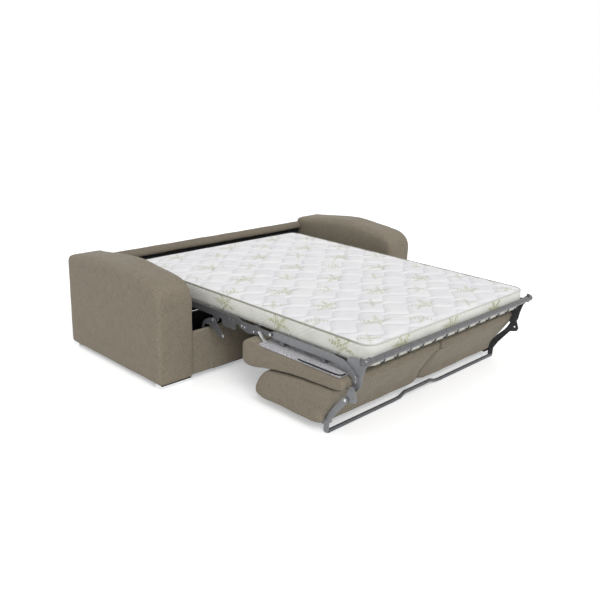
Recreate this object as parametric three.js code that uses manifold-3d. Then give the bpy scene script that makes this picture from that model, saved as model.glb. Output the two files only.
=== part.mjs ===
// A sleeper sofa standing open as a bed, in millimetres.
// X runs along the sofa, +Y to its rear, +Z up, and the floor is z = 0.
// Inside this file y = 0 is the front face of the arms. The last lines centre the object over the origin.

import * as THREE from 'three';
import { mergeVertices } from 'three/addons/utils/BufferGeometryUtils.js';
import Module from 'manifold-3d';

const wasm = await Module();
wasm.setup();

// Running gaps
const seatGap = 0.3;
const boreGap = 0.4;
const overrun = 2;

// Sofa box
const mattressHalf = 700;
const mechanismWide = 131;
const armWide = 223;
const armDeep = 900;
const armTop = 608;
const armLow = 25;
const armCrownRadius = 46;
const armFrontRadius = 9;
const armRearRadius = 8;
const armInner = mattressHalf + mechanismWide;
const sofaWide = 2 * (armInner + armWide);

// Front board under the seat, rear board and the low back rail
const fasciaSetBack = 8;
const fasciaThick = 24;
const fasciaLow = 30;
const fasciaTop = 280;
const fasciaEdge = 7;
const panelThick = 20;
const railSetBack = 14;
const railRearY = armDeep - railSetBack;
const railTop = 529;
const railTall = 49;
const railDeep = 46;
const railEdge = 9;
const railSlopeDeep = 34;
const railSlopeTall = 28;

// Chrome block feet
const footLong = 196;
const footDeep = 52;
const footInset = 8;
const footEdge = 5;

// Mattress
const mattressLow = 381;
const mattressThick = 100;
const mattressEdge = 20;
const mattressLowEdge = 9;
const mattressCorner = 72;
const mattressCrown = 5;
const mattressHeadY = 790;
const mattressFootY = -1078;
const mattressJoint = 0.5;

// Hinge line of the bed frame, at rest
const hingeZ = 372;
const frontHingeY = -231;
const footHingeY = -471;
const headHingeY = 469;
const foldReach = 105;
const headOverlap = 20;

// Swing arms that carry the middle section
const swingPinY = -40;
const swingPinZ = 338;
const swingLeanDeg = 120;
const swingPitch = 300;
const swingWide = 20;
const swingThick = 6;
const leverRootReach = 11;
const leverUpper = [[48, 300], [28, 322], [0, 337], [-40, 351], [-56, 342], [-78, 312], [-104, 284]];
const leverTip = [-120, 268];
const leverLower = [[-90, 258], [-46, 290], [-10, 301], [22, 300], [34, 290]];

// Where the front hinge comes to rest when the bed is folded away
const storedHingeY = 62;
const storedHingeZ = 62;

// Steel sections
const railWide = 14;
const railHeight = 36;
const footRailHeight = 36;
const railStart = mattressHalf + 4;
const linkThick = 6;
const linkTall = 26;
const linkStart = railStart + railWide + 2;
const swingStart = linkStart + linkThick + 4;
const crossRadius = 10;
const wireThick = 5;
const crossZ = mattressLow - seatGap - crossRadius - wireThick / 2;
const wirePitch = 100;
const crossWirePitch = 200;
const pinRadius = 5;
const pinHeadRadius = 8;
const pinHeadThick = 2.5;
const sidePlateThick = 6;
const sidePlateGap = 3;
const sidePlateTall = 150;

// Head section
const headLong = 112;
const headHeight = 26;
const headStart = 24;

// Foot end tube and end plates
const tubeRadius = 12.5;
const tubeY = -1092;
const tubeZ = 420;
const tubeOverhang = 62;
const tubeHalf = mattressHalf + tubeOverhang;
const capLong = 8;
const endPlateThick = 4.5;

// Seat, upside down under the foot section
const cushionOverhang = 78;
const cushionHalf = mattressHalf + cushionOverhang;
const cushionSplit = 4;
const feltTop = 325;
const feltThick = 12;
const feltRearY = -966;
const feltFrontY = -432;
const seatLipY = -314;
const seatRearY = -1000;

// Backrest, folded under the seat
const backHingeY = -1012;
const backHingeZ = 266;
const boardLow = 40;
const boardThick = 12;
const boardInset = 20;
const boardEndY = -812;
const boardTopY = -486;
const bracketThick = 5;
const bracketStart = linkStart + 6;

// Floor leg
const legPinY = -985;
const legPinZ = 205;
const legKneeY = -912;
const legKneeZ = 112;
const legAnkleY = -881;
const legAnkleZ = 60;
const legFootY = -879;
const legThick = 6;
const legWide = 30;
const legStart = bracketStart + bracketThick + 3;
const hoopRadius = 10;
const hoopY = -887;
const hoopBowTall = 18;
const hoopBowFromX = -150;
const hoopBowToX = 110;

// Faces of round pieces
const pinSides = 16;
const rivetSides = 10;
const tubeSides = 20;
const crossSides = 12;

// Finishes
function finish(color, roughness, metalness) {
  return { color, roughness, metalness };
}
const fabric = finish(0x857865, 0.95, 0);
const ticking = finish(0xf1f1ea, 0.9, 0);
const felt = finish(0xb9b2b8, 0.95, 0);
const steel = finish(0x7e8084, 0.45, 0.85);
const darkSteel = finish(0x3f4144, 0.5, 0.8);
const chrome = finish(0xd9dadc, 0.15, 1);
const plastic = finish(0x2b2c2e, 0.55, 0);
const lining = finish(0x37332e, 0.95, 0);

const bed = new THREE.Group();

function addPiece(name, geometry, look) {
  const mesh = new THREE.Mesh(geometry, new THREE.MeshStandardMaterial(look));
  mesh.name = name;
  bed.add(mesh);
  return mesh;
}

// Closed solids to and from the boolean library
function toSolid(geometry) {
  const bare = geometry.index ? geometry.toNonIndexed() : geometry.clone();
  bare.deleteAttribute('normal');
  bare.deleteAttribute('uv');
  const merged = mergeVertices(bare, 1e-4);
  return new wasm.Manifold(new wasm.Mesh({
    numProp: 3,
    vertProperties: new Float32Array(merged.attributes.position.array),
    triVerts: new Uint32Array(merged.index.array),
  }));
}

function toGeometry(solid) {
  const mesh = solid.getMesh();
  const geometry = new THREE.BufferGeometry();
  geometry.setAttribute('position', new THREE.BufferAttribute(new Float32Array(mesh.vertProperties), 3));
  geometry.setIndex(new THREE.BufferAttribute(new Uint32Array(mesh.triVerts), 1));
  return geometry;
}

function join(pieces) {
  return toGeometry(pieces.map(toSolid).reduce((sum, next) => sum.add(next)));
}

function cut(body, tools) {
  return toGeometry(tools.map(toSolid).reduce((left, next) => left.subtract(next), toSolid(body)));
}

// Basic solids placed in the sofa's frame
function block(x0, x1, y0, y1, z0, z1) {
  const geometry = new THREE.BoxGeometry(x1 - x0, y1 - y0, z1 - z0);
  geometry.translate((x0 + x1) / 2, (y0 + y1) / 2, (z0 + z1) / 2);
  return geometry;
}

function rodX(x0, x1, y, z, radius, sides) {
  const geometry = new THREE.CylinderGeometry(radius, radius, x1 - x0, sides);
  geometry.rotateZ(Math.PI / 2);
  geometry.translate((x0 + x1) / 2, y, z);
  return geometry;
}

// A flat outline in the side plane, given as (y, z) points, made thick along X
const sideFrame = new THREE.Matrix4().makeBasis(
  new THREE.Vector3(0, 1, 0), new THREE.Vector3(0, 0, 1), new THREE.Vector3(1, 0, 0));

function sidePlate(points, x0, x1) {
  const shape = new THREE.Shape(points.map(([y, z]) => new THREE.Vector2(y, z)));
  const geometry = new THREE.ExtrudeGeometry(shape, { depth: x1 - x0, bevelEnabled: false });
  geometry.applyMatrix4(sideFrame);
  geometry.translate(x0, 0, 0);
  return geometry;
}

// The same plate on the left or right side of the sofa: side is -1 or 1
function plateOn(side, points, start, thick) {
  return side > 0 ? sidePlate(points, start, start + thick) : sidePlate(points, -start - thick, -start);
}

function pinOn(side, start, end, y, z, radius, sides = pinSides) {
  return side > 0 ? rodX(start, end, y, z, radius, sides) : rodX(-end, -start, y, z, radius, sides);
}

function blockOn(side, start, end, y0, y1, z0, z1) {
  return side > 0 ? block(start, end, y0, y1, z0, z1) : block(-end, -start, y0, y1, z0, z1);
}

// A flat bar with round ends through two or more points
function linkOutline(points, wide, steps = 6) {
  const half = wide / 2;
  const path = points.map(([y, z]) => new THREE.Vector2(y, z));
  const left = [];
  const right = [];
  path.forEach((p, i) => {
    const before = path[Math.max(i - 1, 0)];
    const after = path[Math.min(i + 1, path.length - 1)];
    const along = after.clone().sub(before).normalize();
    const inner = i > 0 && i < path.length - 1;
    const incoming = inner ? p.clone().sub(before).normalize() : along;
    const spread = inner ? half / Math.sqrt((1 + incoming.dot(after.clone().sub(p).normalize())) / 2) : half;
    const normal = new THREE.Vector2(-along.y, along.x).multiplyScalar(spread);
    left.push(p.clone().add(normal));
    right.push(p.clone().sub(normal));
  });
  const round = (centre, from) => {
    const start = Math.atan2(from.y - centre.y, from.x - centre.x);
    return Array.from({ length: steps - 1 }, (_, k) => {
      const turn = start - Math.PI * (k + 1) / steps;
      return new THREE.Vector2(centre.x + half * Math.cos(turn), centre.y + half * Math.sin(turn));
    });
  };
  const last = path[path.length - 1];
  const outline = [
    ...left, ...round(last, left[left.length - 1]), ...right.reverse(), ...round(path[0], right[right.length - 1])];
  return outline.map((p) => [p.x, p.y]);
}

function boreOn(side, start, end, y, z) {
  return pinOn(side, start - overrun, end + overrun, y, z, (pinRadius + boreGap) / Math.cos(Math.PI / pinSides));
}

// A closed skin over rings of equal count, flat at both ends
function loft(given, flatten) {
  const clockwise = THREE.ShapeUtils.area(given[0].map(flatten)) < 0;
  const rings = clockwise ? given.map((ring) => [...ring].reverse()) : given;
  const count = rings[0].length;
  const positions = rings.flat().flatMap((p) => [p.x, p.y, p.z]);
  const index = [];
  for (let r = 0; r < rings.length - 1; r += 1) {
    for (let k = 0; k < count; k += 1) {
      const next = (k + 1) % count;
      const a = r * count + k;
      const b = r * count + next;
      index.push(a, b, b + count, a, b + count, a + count);
    }
  }
  const lastStart = (rings.length - 1) * count;
  THREE.ShapeUtils.triangulateShape(rings[0].map(flatten), []).forEach(([a, b, c]) => index.push(c, b, a));
  THREE.ShapeUtils.triangulateShape(rings[rings.length - 1].map(flatten), [])
    .forEach(([a, b, c]) => index.push(lastStart + a, lastStart + b, lastStart + c));
  const geometry = new THREE.BufferGeometry();
  geometry.setAttribute('position', new THREE.BufferAttribute(new Float32Array(positions), 3));
  geometry.setIndex(index);
  if (signedVolume(geometry) < 0) {
    index.reverse();
    geometry.setIndex(index);
  }
  return geometry;
}

function signedVolume(geometry) {
  const p = geometry.attributes.position;
  const corner = (i) => new THREE.Vector3().fromBufferAttribute(p, geometry.index.getX(i));
  let volume = 0;
  for (let i = 0; i < geometry.index.count; i += 3) {
    volume += corner(i).dot(corner(i + 1).cross(corner(i + 2))) / 6;
  }
  return volume;
}

// How far a round edge of a radius draws in at a depth from the end
function drawIn(radius, depth) {
  return depth >= radius ? 0 : radius - Math.sqrt(radius * radius - (radius - depth) ** 2);
}

// A padded body: one side outline carried along X, drawn in at both ends and crowned between them.
// Each outline point is { y, z, edge, crown }: its own edge radius and its own crown height.
const endStationShares = [0, 0.06, 0.25, 0.58, 1];
const midStationShares = [0.25, 0.5, 0.75];

// With a spine, a segment inside the outline, the ends draw in towards the spine instead of squarely.
function padded(outline, x0, x1, spine) {
  const edge = Math.max(...outline.map((p) => p.edge));
  const wide = x1 - x0;
  const depths = endStationShares.map((s) => s * edge);
  const stations = [
    ...depths,
    ...midStationShares.map((s) => edge + s * (wide - 2 * edge)),
    ...depths.map((d) => wide - d).reverse(),
  ];
  const count = outline.length;
  const normals = outline.map((p, k) => {
    const before = outline[(k + count - 1) % count];
    const after = outline[(k + 1) % count];
    const square = new THREE.Vector2(after.z - before.z, before.y - after.y).normalize();
    return spine ? awayFrom(spine, p) : square;
  });
  const rings = stations.map((s) => outline.map((p, k) => {
    const bow = 1 - (2 * s / wide - 1) ** 2;
    const out = p.crown * bow - drawIn(p.edge, Math.min(s, wide - s));
    return new THREE.Vector3(x0 + s, p.y + normals[k].x * out, p.z + normals[k].y * out);
  }));
  return loft(rings, (p) => new THREE.Vector2(p.y, p.z));
}

function awayFrom([from, to], p) {
  const start = new THREE.Vector2(...from);
  const along = new THREE.Vector2(...to).sub(start);
  const point = new THREE.Vector2(p.y, p.z);
  const share = THREE.MathUtils.clamp(point.clone().sub(start).dot(along) / along.lengthSq(), 0, 1);
  return point.sub(start.addScaledVector(along, share)).normalize();
}

// Two points for each corner along a smooth closed curve through the given corners, walked anticlockwise
function smoothRing(corners) {
  const count = corners.length * 2;
  const curve = new THREE.CatmullRomCurve3(
    corners.map(([y, z]) => new THREE.Vector3(y, z, 0)), true, 'centripetal');
  return curve.getPoints(count).slice(0, count).map((p) => ({ y: p.x, z: p.y }));
}

// Upholstered arms: flat sides, an arched top and a square rear
const armTall = armTop - armLow;
const armArchShares = [
  [0, 0.74], [0.014, 0.86], [0.062, 0.925], [0.16, 0.958], [0.3, 0.978], [0.45, 0.997],
  [0.6, 0.985], [0.78, 0.957], [0.9, 0.934], [0.962, 0.92], [0.988, 0.904], [1, 0.87],
];
const armLowShares = [0.5, 0.02, 0];
const armArchSteps = 30;

function armGeometry(x0, x1) {
  const arch = new THREE.CatmullRomCurve3(
    armArchShares.map(([s, t]) => new THREE.Vector3(s * armDeep, armLow + t * armTall, 0)), false, 'centripetal');
  const top = arch.getSpacedPoints(armArchSteps).map((p) => ({
    y: p.x,
    z: p.y,
    edge: THREE.MathUtils.lerp(
      p.x < armDeep / 2 ? armFrontRadius : armRearRadius, armCrownRadius,
      THREE.MathUtils.smoothstep(p.y, armLow + armTall * armArchShares[0][1], armTop - armCrownRadius)
        * THREE.MathUtils.smoothstep(armDeep - p.x, 0, armCrownRadius * 2)),
    crown: 0,
  }));
  const low = armLowShares.map((share) => THREE.MathUtils.lerp(armLow, top[0].z, share));
  const front = low.map((z) => ({ y: 0, z, edge: armFrontRadius, crown: 0 })).reverse();
  front[0].edge = footEdge;
  const rear = low.map((z) => ({ y: armDeep, z, edge: armRearRadius, crown: 0 }));
  rear[rear.length - 1].edge = footEdge;
  return padded([...front, ...top, ...rear].reverse(), x0, x1);
}

addPiece('arm_left', armGeometry(-sofaWide / 2, -armInner), fabric);
addPiece('arm_right', armGeometry(armInner, sofaWide / 2), fabric);

// A long upholstered board with rounded edges, outline given by its low and high corners
function boardRing(y0, y1, z0, z1, edge, steps = 3) {
  const centres = [[y1 - edge, z0 + edge], [y1 - edge, z1 - edge], [y0 + edge, z1 - edge], [y0 + edge, z0 + edge]];
  return centres.flatMap(([y, z], quarter) => Array.from({ length: steps + 1 }, (_, k) => {
    const turn = (quarter - 1 + k / steps) * Math.PI / 2;
    return { y: y + edge * Math.cos(turn), z: z + edge * Math.sin(turn), edge: 0, crown: 0 };
  }));
}

function boardGeometry(x0, x1, y0, y1, z0, z1, edge) {
  const rings = [x0, x1].map((x) => boardRing(y0, y1, z0, z1, edge).map((p) => new THREE.Vector3(x, p.y, p.z)));
  return loft(rings, (p) => new THREE.Vector2(p.y, p.z));
}

const baseHalf = armInner - seatGap;
addPiece('fascia_panel', boardGeometry(
  -baseHalf, baseHalf, fasciaSetBack, fasciaSetBack + fasciaThick, fasciaLow, fasciaTop, fasciaEdge), fabric);
addPiece('back_panel', block(
  -baseHalf, baseHalf, railRearY - panelThick, railRearY, fasciaLow, railTop - railTall - seatGap), lining);

// The rail's padded top slopes down to its front
const railFrontY = railRearY - railDeep;
const railLow = railTop - railTall;
const railNick = railEdge / 4;
const topRailOutline = [
  [railFrontY, railLow + railEdge], [railFrontY, railTop - railSlopeTall],
  [railFrontY + railEdge, railTop - railSlopeTall / 2],
  [railFrontY + railSlopeDeep / 2, railTop - railEdge / 2], [railFrontY + railSlopeDeep, railTop],
  [railRearY - railEdge, railTop], [railRearY - railNick, railTop - railNick], [railRearY, railTop - railEdge],
  [railRearY, railLow + railEdge], [railRearY - railNick, railLow + railNick], [railRearY - railEdge, railLow],
  [railFrontY + railEdge, railLow], [railFrontY + railNick, railLow + railNick]];
addPiece('top_rail', sidePlate(topRailOutline, -baseHalf, baseHalf), fabric);

// Chrome feet under the front and rear of each arm
function footGeometry(side, y0) {
  const centre = side * (sofaWide / 2 - armWide / 2);
  const shape = boardRing(y0, y0 + footDeep, 0, armLow - seatGap, footEdge, 2);
  const rings = [centre - footLong / 2, centre + footLong / 2]
    .map((x) => shape.map((p) => new THREE.Vector3(x, p.y, p.z)));
  return loft(rings, (p) => new THREE.Vector2(p.y, p.z));
}

for (const [word, side] of [['left', -1], ['right', 1]]) {
  addPiece(`foot_front_${word}`, footGeometry(side, footInset), chrome);
  addPiece(`foot_rear_${word}`, footGeometry(side, armDeep - footInset - footDeep), chrome);
}

// Swing arm circle: both arms turn about pins on the side plates, and the middle section stays level
const moveY = storedHingeY - frontHingeY;
const moveZ = storedHingeZ - hingeZ;
const lean = THREE.MathUtils.degToRad(swingLeanDeg);
const swingLong = -(moveY ** 2 + moveZ ** 2) / (2 * (moveY * Math.cos(lean) + moveZ * Math.sin(lean)));
const swingBaseY = swingPinY - swingLong * Math.cos(lean);
const swingBaseZ = swingPinZ - swingLong * Math.sin(lean);

// Steel plates on the inner faces of the arms, with the pins that the swing arms turn on
const sidePlateStart = armInner - sidePlateGap - sidePlateThick;
const sidePlateFrontShare = 0.055;
const sidePlateRearShare = 0.93;
const sidePlateHeelShare = 0.3;

function sidePlateGeometry(side) {
  const y0 = sidePlateFrontShare * armDeep;
  const y1 = sidePlateRearShare * armDeep;
  const z0 = swingBaseZ - sidePlateTall / 2;
  const z1 = swingBaseZ + sidePlateTall / 2;
  const heel = sidePlateHeelShare * sidePlateTall;
  const outline = [[y0, z0], [y1, z0], [y1, z1 - heel], [y1 - heel, z1], [y0 + heel, z1], [y0, z1 - heel]];
  const pieces = [plateOn(side, outline, sidePlateStart, sidePlateThick + sidePlateGap - seatGap)];
  for (const shift of [0, swingPitch]) {
    const y = swingBaseY + shift;
    pieces.push(pinOn(side, swingStart - pinHeadThick, sidePlateStart + overrun, y, swingBaseZ, pinRadius));
    pieces.push(pinOn(
      side, swingStart + swingThick + seatGap * 2, sidePlateStart + overrun, y, swingBaseZ, pinHeadRadius));
  }
  return join(pieces);
}

function swingArmGeometry(side, shift, outline) {
  const end = swingStart + swingThick;
  const plate = plateOn(side, outline, swingStart, swingThick);
  return cut(plate, [
    boreOn(side, swingStart, end, swingBaseY + shift, swingBaseZ),
    boreOn(side, swingStart, end, swingPinY + shift, swingPinZ),
  ]);
}

// Points of a half circle round a centre, from one angle to another in degrees
function arcPoints([y, z], radius, from, to, steps = 6) {
  return Array.from({ length: steps + 1 }, (_, k) => {
    const turn = THREE.MathUtils.degToRad(THREE.MathUtils.lerp(from, to, k / steps));
    return [y + radius * Math.cos(turn), z + radius * Math.sin(turn)];
  });
}

const leverTurn = { rootFrom: 180, rootTo: 360, tipFrom: 45, tipTo: 270 };
const frontArmOutline = [
  ...arcPoints([swingBaseY, swingBaseZ], leverRootReach, leverTurn.rootFrom, leverTurn.rootTo),
  ...leverUpper,
  ...arcPoints(leverTip, leverRootReach, leverTurn.tipFrom, leverTurn.tipTo),
  ...leverLower,
];
const rearArmOutline = linkOutline(
  [[swingBaseY + swingPitch, swingBaseZ], [swingPinY + swingPitch, swingPinZ]], swingWide);
for (const [word, side] of [['left', -1], ['right', 1]]) {
  addPiece(`side_plate_${word}`, sidePlateGeometry(side), darkSteel);
  addPiece(`swing_arm_front_${word}`, swingArmGeometry(side, 0, frontArmOutline), steel);
  addPiece(`swing_arm_rear_${word}`, swingArmGeometry(side, swingPitch, rearArmOutline), steel);
}

// A side rail with eyes at its hinge ends
const eyeRadius = 12;
const eyeNeck = 26;

function railOutline(y0, y1, height, eyeAtY0) {
  const half = height / 2;
  const rear = [
    [y1 - eyeNeck, hingeZ - half], ...arcPoints([y1, hingeZ], eyeRadius, -90, 90), [y1 - eyeNeck, hingeZ + half]];
  const front = eyeAtY0
    ? [[y0 + eyeNeck, hingeZ + half], ...arcPoints([y0, hingeZ], eyeRadius, 90, 270), [y0 + eyeNeck, hingeZ - half]]
    : [];
  return [...rear, ...front];
}

// A pin through a rail's eye that carries the neighbour's link
function hingePin(side, y, z, reach) {
  return [
    pinOn(side, railStart + railWide - overrun, reach + pinHeadThick / 2, y, z, pinRadius),
    pinOn(side, reach, reach + pinHeadThick, y, z, pinHeadRadius),
  ];
}

const lugHalf = 17;
const lugDrop = 14;
const apronThick = 3;
const apronOutline = [[-92, 357], [-94, 330], [-104, 319], [-196, 318], [-205, 326], [-207, 357]];
const railRivets = [[98, 366], [60, 366], [-150, 368], [-182, 368]];
const rivetRadius = 5;
const rivetTall = 1.2;

function rivetsOn(side, start, places) {
  return places.map(([y, z]) => pinOn(side, start - overrun, start + rivetTall, y, z, rivetRadius, rivetSides));
}

function middleRailGeometry(side) {
  const rail = plateOn(
    side, railOutline(frontHingeY, headHingeY, railHeight, true), railStart, railWide);
  const pieces = [rail];
  for (const shift of [0, swingPitch]) {
    const y = swingPinY + shift;
    const lug = [[y - lugHalf, hingeZ], [y - lugHalf, swingPinZ], [y - lugHalf / 2, swingPinZ - lugDrop],
      [y + lugHalf / 2, swingPinZ - lugDrop], [y + lugHalf, swingPinZ], [y + lugHalf, hingeZ]];
    pieces.push(plateOn(side, lug, railStart, railWide));
    pieces.push(...hingePin(side, y, swingPinZ, swingStart + swingThick + seatGap * 2));
  }
  pieces.push(plateOn(side, apronOutline, railStart + railWide - apronThick, apronThick));
  pieces.push(...rivetsOn(side, railStart + railWide, railRivets));
  const linkReach = linkStart + linkThick + seatGap * 2;
  pieces.push(pinOn(side, railStart + railWide - overrun, linkReach, frontHingeY, hingeZ, pinRadius));
  pieces.push(pinOn(side, railStart + railWide - overrun, linkReach, headHingeY, hingeZ, pinRadius));
  return join(pieces);
}

// A welded mesh on cross tubes, that the mattress lies on
const meshHalf = railStart - seatGap;
const wireLow = crossZ + crossRadius - wireThick / 2;
const wireTop = wireLow + wireThick;

function meshPieces(y0, y1, tubesAt, firstRow = 0) {
  const pieces = tubesAt.map((y) => rodX(-meshHalf, meshHalf, y, crossZ, crossRadius, crossSides));
  const columns = Math.floor((mattressHalf - mattressCorner) / wirePitch);
  for (let k = -columns; k <= columns; k += 1) {
    const x = k * wirePitch;
    pieces.push(block(x - wireThick / 2, x + wireThick / 2, y0, y1, wireLow, wireTop));
  }
  const rows = Math.round((y1 - y0) / crossWirePitch);
  const edge = columns * wirePitch + wirePitch / 2;
  for (let k = firstRow; k <= rows; k += 1) {
    const y = y0 + wireThick + (y1 - y0 - 2 * wireThick) * k / rows;
    pieces.push(block(
      -edge, edge, y - wireThick / 2, y + wireThick / 2, wireLow - wireThick / 2, wireLow + wireThick / 2));
  }
  return pieces;
}

const tubeInset = 42;
const middleTubes = [
  frontHingeY + tubeInset, (frontHingeY + headHingeY) / 2, headHingeY - tubeInset];
addPiece('middle_rail_left', middleRailGeometry(-1), steel);
addPiece('middle_rail_right', middleRailGeometry(1), darkSteel);
addPiece('middle_mesh', join(meshPieces(
  middleTubes[0] - crossRadius, middleTubes[2] + crossRadius, middleTubes)), steel);

// Head section: a short frame that tips up behind the folded bed
function headGeometry() {
  const pieces = [];
  const y0 = headHingeY + headStart;
  const y1 = headHingeY + headLong;
  for (const side of [-1, 1]) {
    pieces.push(blockOn(side, railStart, railStart + railWide, y0, y1, hingeZ - headHeight / 2, hingeZ + headHeight / 2));
    const ear = linkOutline([[headHingeY, hingeZ], [y1 - headHeight, hingeZ]], headHeight);
    const plate = plateOn(side, ear, linkStart, linkThick);
    pieces.push(toGeometry(toSolid(plate).subtract(
      toSolid(boreOn(side, linkStart, linkStart + linkThick, headHingeY, hingeZ)))));
    pieces.push(pinOn(side, railStart + overrun, linkStart + overrun, y0 + headHeight / 2, hingeZ, pinRadius));
  }
  pieces.push(rodX(-railStart - overrun, railStart + overrun, y1 - crossRadius, crossZ, crossRadius, pinSides));
  pieces.push(rodX(-railStart - overrun, railStart + overrun, y0 + crossRadius, crossZ, crossRadius / 2, pinSides));
  const columns = Math.floor((mattressHalf - mattressCorner) / wirePitch);
  for (let k = -columns; k <= columns; k += 1) {
    const x = k * wirePitch;
    pieces.push(block(
      x - wireThick / 2, x + wireThick / 2, y0 + crossRadius, y1 - crossRadius,
      crossZ - wireThick / 2, crossZ + wireThick / 2));
  }
  return join(pieces);
}

addPiece('head_frame', headGeometry(), steel);

// Spacer: two links and a tube between the middle and foot sections
const webOutline = [
  [-392, 362], [-390, 350], [-370, 344], [-352, 343], [-340, 338], [-304, 334], [-252, 346], [-240, 362]];
const webRivets = [[-262, 362], [-284, 360], [-352, 354]];

function spacerLinkGeometry(side) {
  const path = [[footHingeY, hingeZ], [frontHingeY, hingeZ]];
  const plate = join([
    plateOn(side, linkOutline(path, linkTall), linkStart, linkThick),
    plateOn(side, webOutline, linkStart, linkThick),
    ...rivetsOn(side, linkStart + linkThick, webRivets),
  ]);
  const bored = cut(plate, path.map(([y, z]) => boreOn(side, linkStart, linkStart + linkThick, y, z)));
  const tubeAt = (footHingeY + frontHingeY) / 2;
  return join([bored, pinOn(
    side, railStart - overrun, linkStart + overrun, tubeAt, hingeZ, crossRadius + linkThick / 2)]);
}

addPiece('spacer_link_left', spacerLinkGeometry(-1), steel);
addPiece('spacer_link_right', spacerLinkGeometry(1), darkSteel);
const spacerTubeEnd = railStart - overrun - seatGap;
addPiece('spacer_tube', rodX(
  -spacerTubeEnd, spacerTubeEnd, (footHingeY + frontHingeY) / 2, mattressLow - seatGap - crossRadius,
  crossRadius, pinSides), steel);

// Foot section: a side rail that curves down to two rivets on the end plate
const footTailY = -880;
const footTailUpper = [[-940, 384], [-972, 371], [-1001, 352], [-1026, 328]];
const footTailEnd = [[-1033, 314], [-1031, 296], [-1019, 289]];
const footTailLower = [[-1006, 298], [-1000, 312], [-972, 330], [-930, 344]];
const footTailRivets = [[-1018, 321], [-1019, 301]];
const footTailStart = railStart + endPlateThick + seatGap;
const hangerWide = 26;
const hangerFlange = 40;
const hangerAtShares = [0.16, 0.8];
const hangerReachY = -900;

function footRailGeometry(side) {
  const low = hingeZ - footRailHeight / 2;
  const high = hingeZ + footRailHeight / 2;
  const straight = [[footTailY, high], [footTailY, low], ...railOutline(footTailY, footHingeY, footRailHeight, false)];
  const tail = [[footTailY + overrun, high], ...footTailUpper, ...footTailEnd, ...footTailLower, [footTailY + overrun, low]];
  const end = railStart + railWide;
  const pieces = [
    plateOn(side, straight, railStart, railWide),
    plateOn(side, tail, footTailStart, end - footTailStart),
    ...rivetsOn(side, end, footTailRivets),
    pinOn(side, end - overrun, linkStart + linkThick + seatGap * 2, footHingeY, hingeZ, pinRadius),
  ];
  for (const share of hangerAtShares) {
    const y = THREE.MathUtils.lerp(footHingeY, hangerReachY, share);
    const y0 = y - hangerWide / 2;
    const y1 = y + hangerWide / 2;
    const shelf = feltTop + seatGap;
    pieces.push(blockOn(side, railStart, railStart + endPlateThick, y0, y1, shelf, low + overrun));
    pieces.push(blockOn(side, railStart - hangerFlange, railStart + endPlateThick, y0, y1, shelf, shelf + endPlateThick));
  }
  return join(pieces);
}

// End plate: it carries the foot tube at its top and the backrest's pin at its foot
const endPlateOutline = [
  [-958, 388], [-966, 400], [-1008, 408], [-1062, 420], [-1080, 436], [-1096, 438], [-1104, 429], [-1104, 411],
  [-1096, 401], [-1084, 399], [-1068, 378], [-1054, 330], [-1048, 290], [-1038, 266], [-1022, 250], [-1004, 250],
  [-996, 262], [-996, 272], [-1007, 302], [-1007, 331], [-984, 336], [-962, 352]];

function endPlateGeometry(side) {
  const end = railStart + endPlateThick;
  const plate = join([
    plateOn(side, endPlateOutline, railStart, endPlateThick),
    pinOn(side, end - overrun, bracketStart + bracketThick + seatGap * 2, backHingeY, backHingeZ, pinRadius),
  ]);
  const tubeHole = pinOn(
    side, railStart - overrun, end + overrun, tubeY, tubeZ, tubeRadius + boreGap, tubeSides);
  return cut(plate, [tubeHole]);
}

// Foot tube with a cap in each end
const capTaperShare = 0.8;

function capGeometry(side) {
  const profile = [
    new THREE.Vector2(0, 0), new THREE.Vector2(tubeRadius, 0), new THREE.Vector2(tubeRadius, capLong / 2),
    new THREE.Vector2(tubeRadius * capTaperShare, capLong), new THREE.Vector2(0, capLong)];
  const geometry = new THREE.LatheGeometry(profile, tubeSides);
  geometry.rotateZ(-side * Math.PI / 2);
  geometry.translate(side * (tubeHalf + seatGap), tubeY, tubeZ);
  return geometry;
}

addPiece('foot_rail_left', footRailGeometry(-1), steel);
addPiece('foot_rail_right', footRailGeometry(1), darkSteel);
addPiece('end_plate_left', endPlateGeometry(-1), darkSteel);
addPiece('end_plate_right', endPlateGeometry(1), darkSteel);
addPiece('foot_tube', rodX(-tubeHalf, tubeHalf, tubeY, tubeZ, tubeRadius, tubeSides), steel);
addPiece('tube_cap_left', capGeometry(-1), plastic);
addPiece('tube_cap_right', capGeometry(1), plastic);

// The foot mesh has long wires that rise past the mattress end to the foot tube
const footMeshEndY = -1000;
const footTubes = [footHingeY - tubeInset, (footHingeY + footMeshEndY) / 2, footMeshEndY + tubeInset];
const wireFootY = tubeY + wireThick * 2;

function footMeshGeometry() {
  const pieces = meshPieces(wireFootY, footTubes[0] + crossRadius, footTubes, 1);
  const columns = Math.floor((mattressHalf - mattressCorner) / wirePitch);
  const rise = [
    [wireFootY, wireLow], [wireFootY + wireThick, wireLow], [wireFootY + wireThick, wireTop],
    [tubeY + wireThick / 2, tubeZ - tubeRadius - seatGap], [tubeY - wireThick / 2, tubeZ - tubeRadius - seatGap],
  ];
  for (let k = -columns; k <= columns; k += 1) {
    const x = k * wirePitch;
    pieces.push(sidePlate(rise, x - wireThick / 2, x + wireThick / 2));
  }
  return join(pieces);
}

addPiece('foot_mesh', footMeshGeometry(), steel);

// Seat platform, felt side up, and the two seat cushions under it
addPiece('seat_platform', block(
  -cushionHalf + feltThick, cushionHalf - feltThick, feltRearY, feltFrontY, feltTop - feltThick, feltTop), felt);

const stayThick = 3;
const stayStart = linkStart + linkThick + 2;
const stayGap = 4;
const stayWide = 12;
const stayTopY = -403;
const stayTopZ = 368;
const stayFootY = feltFrontY - 14;

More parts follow.
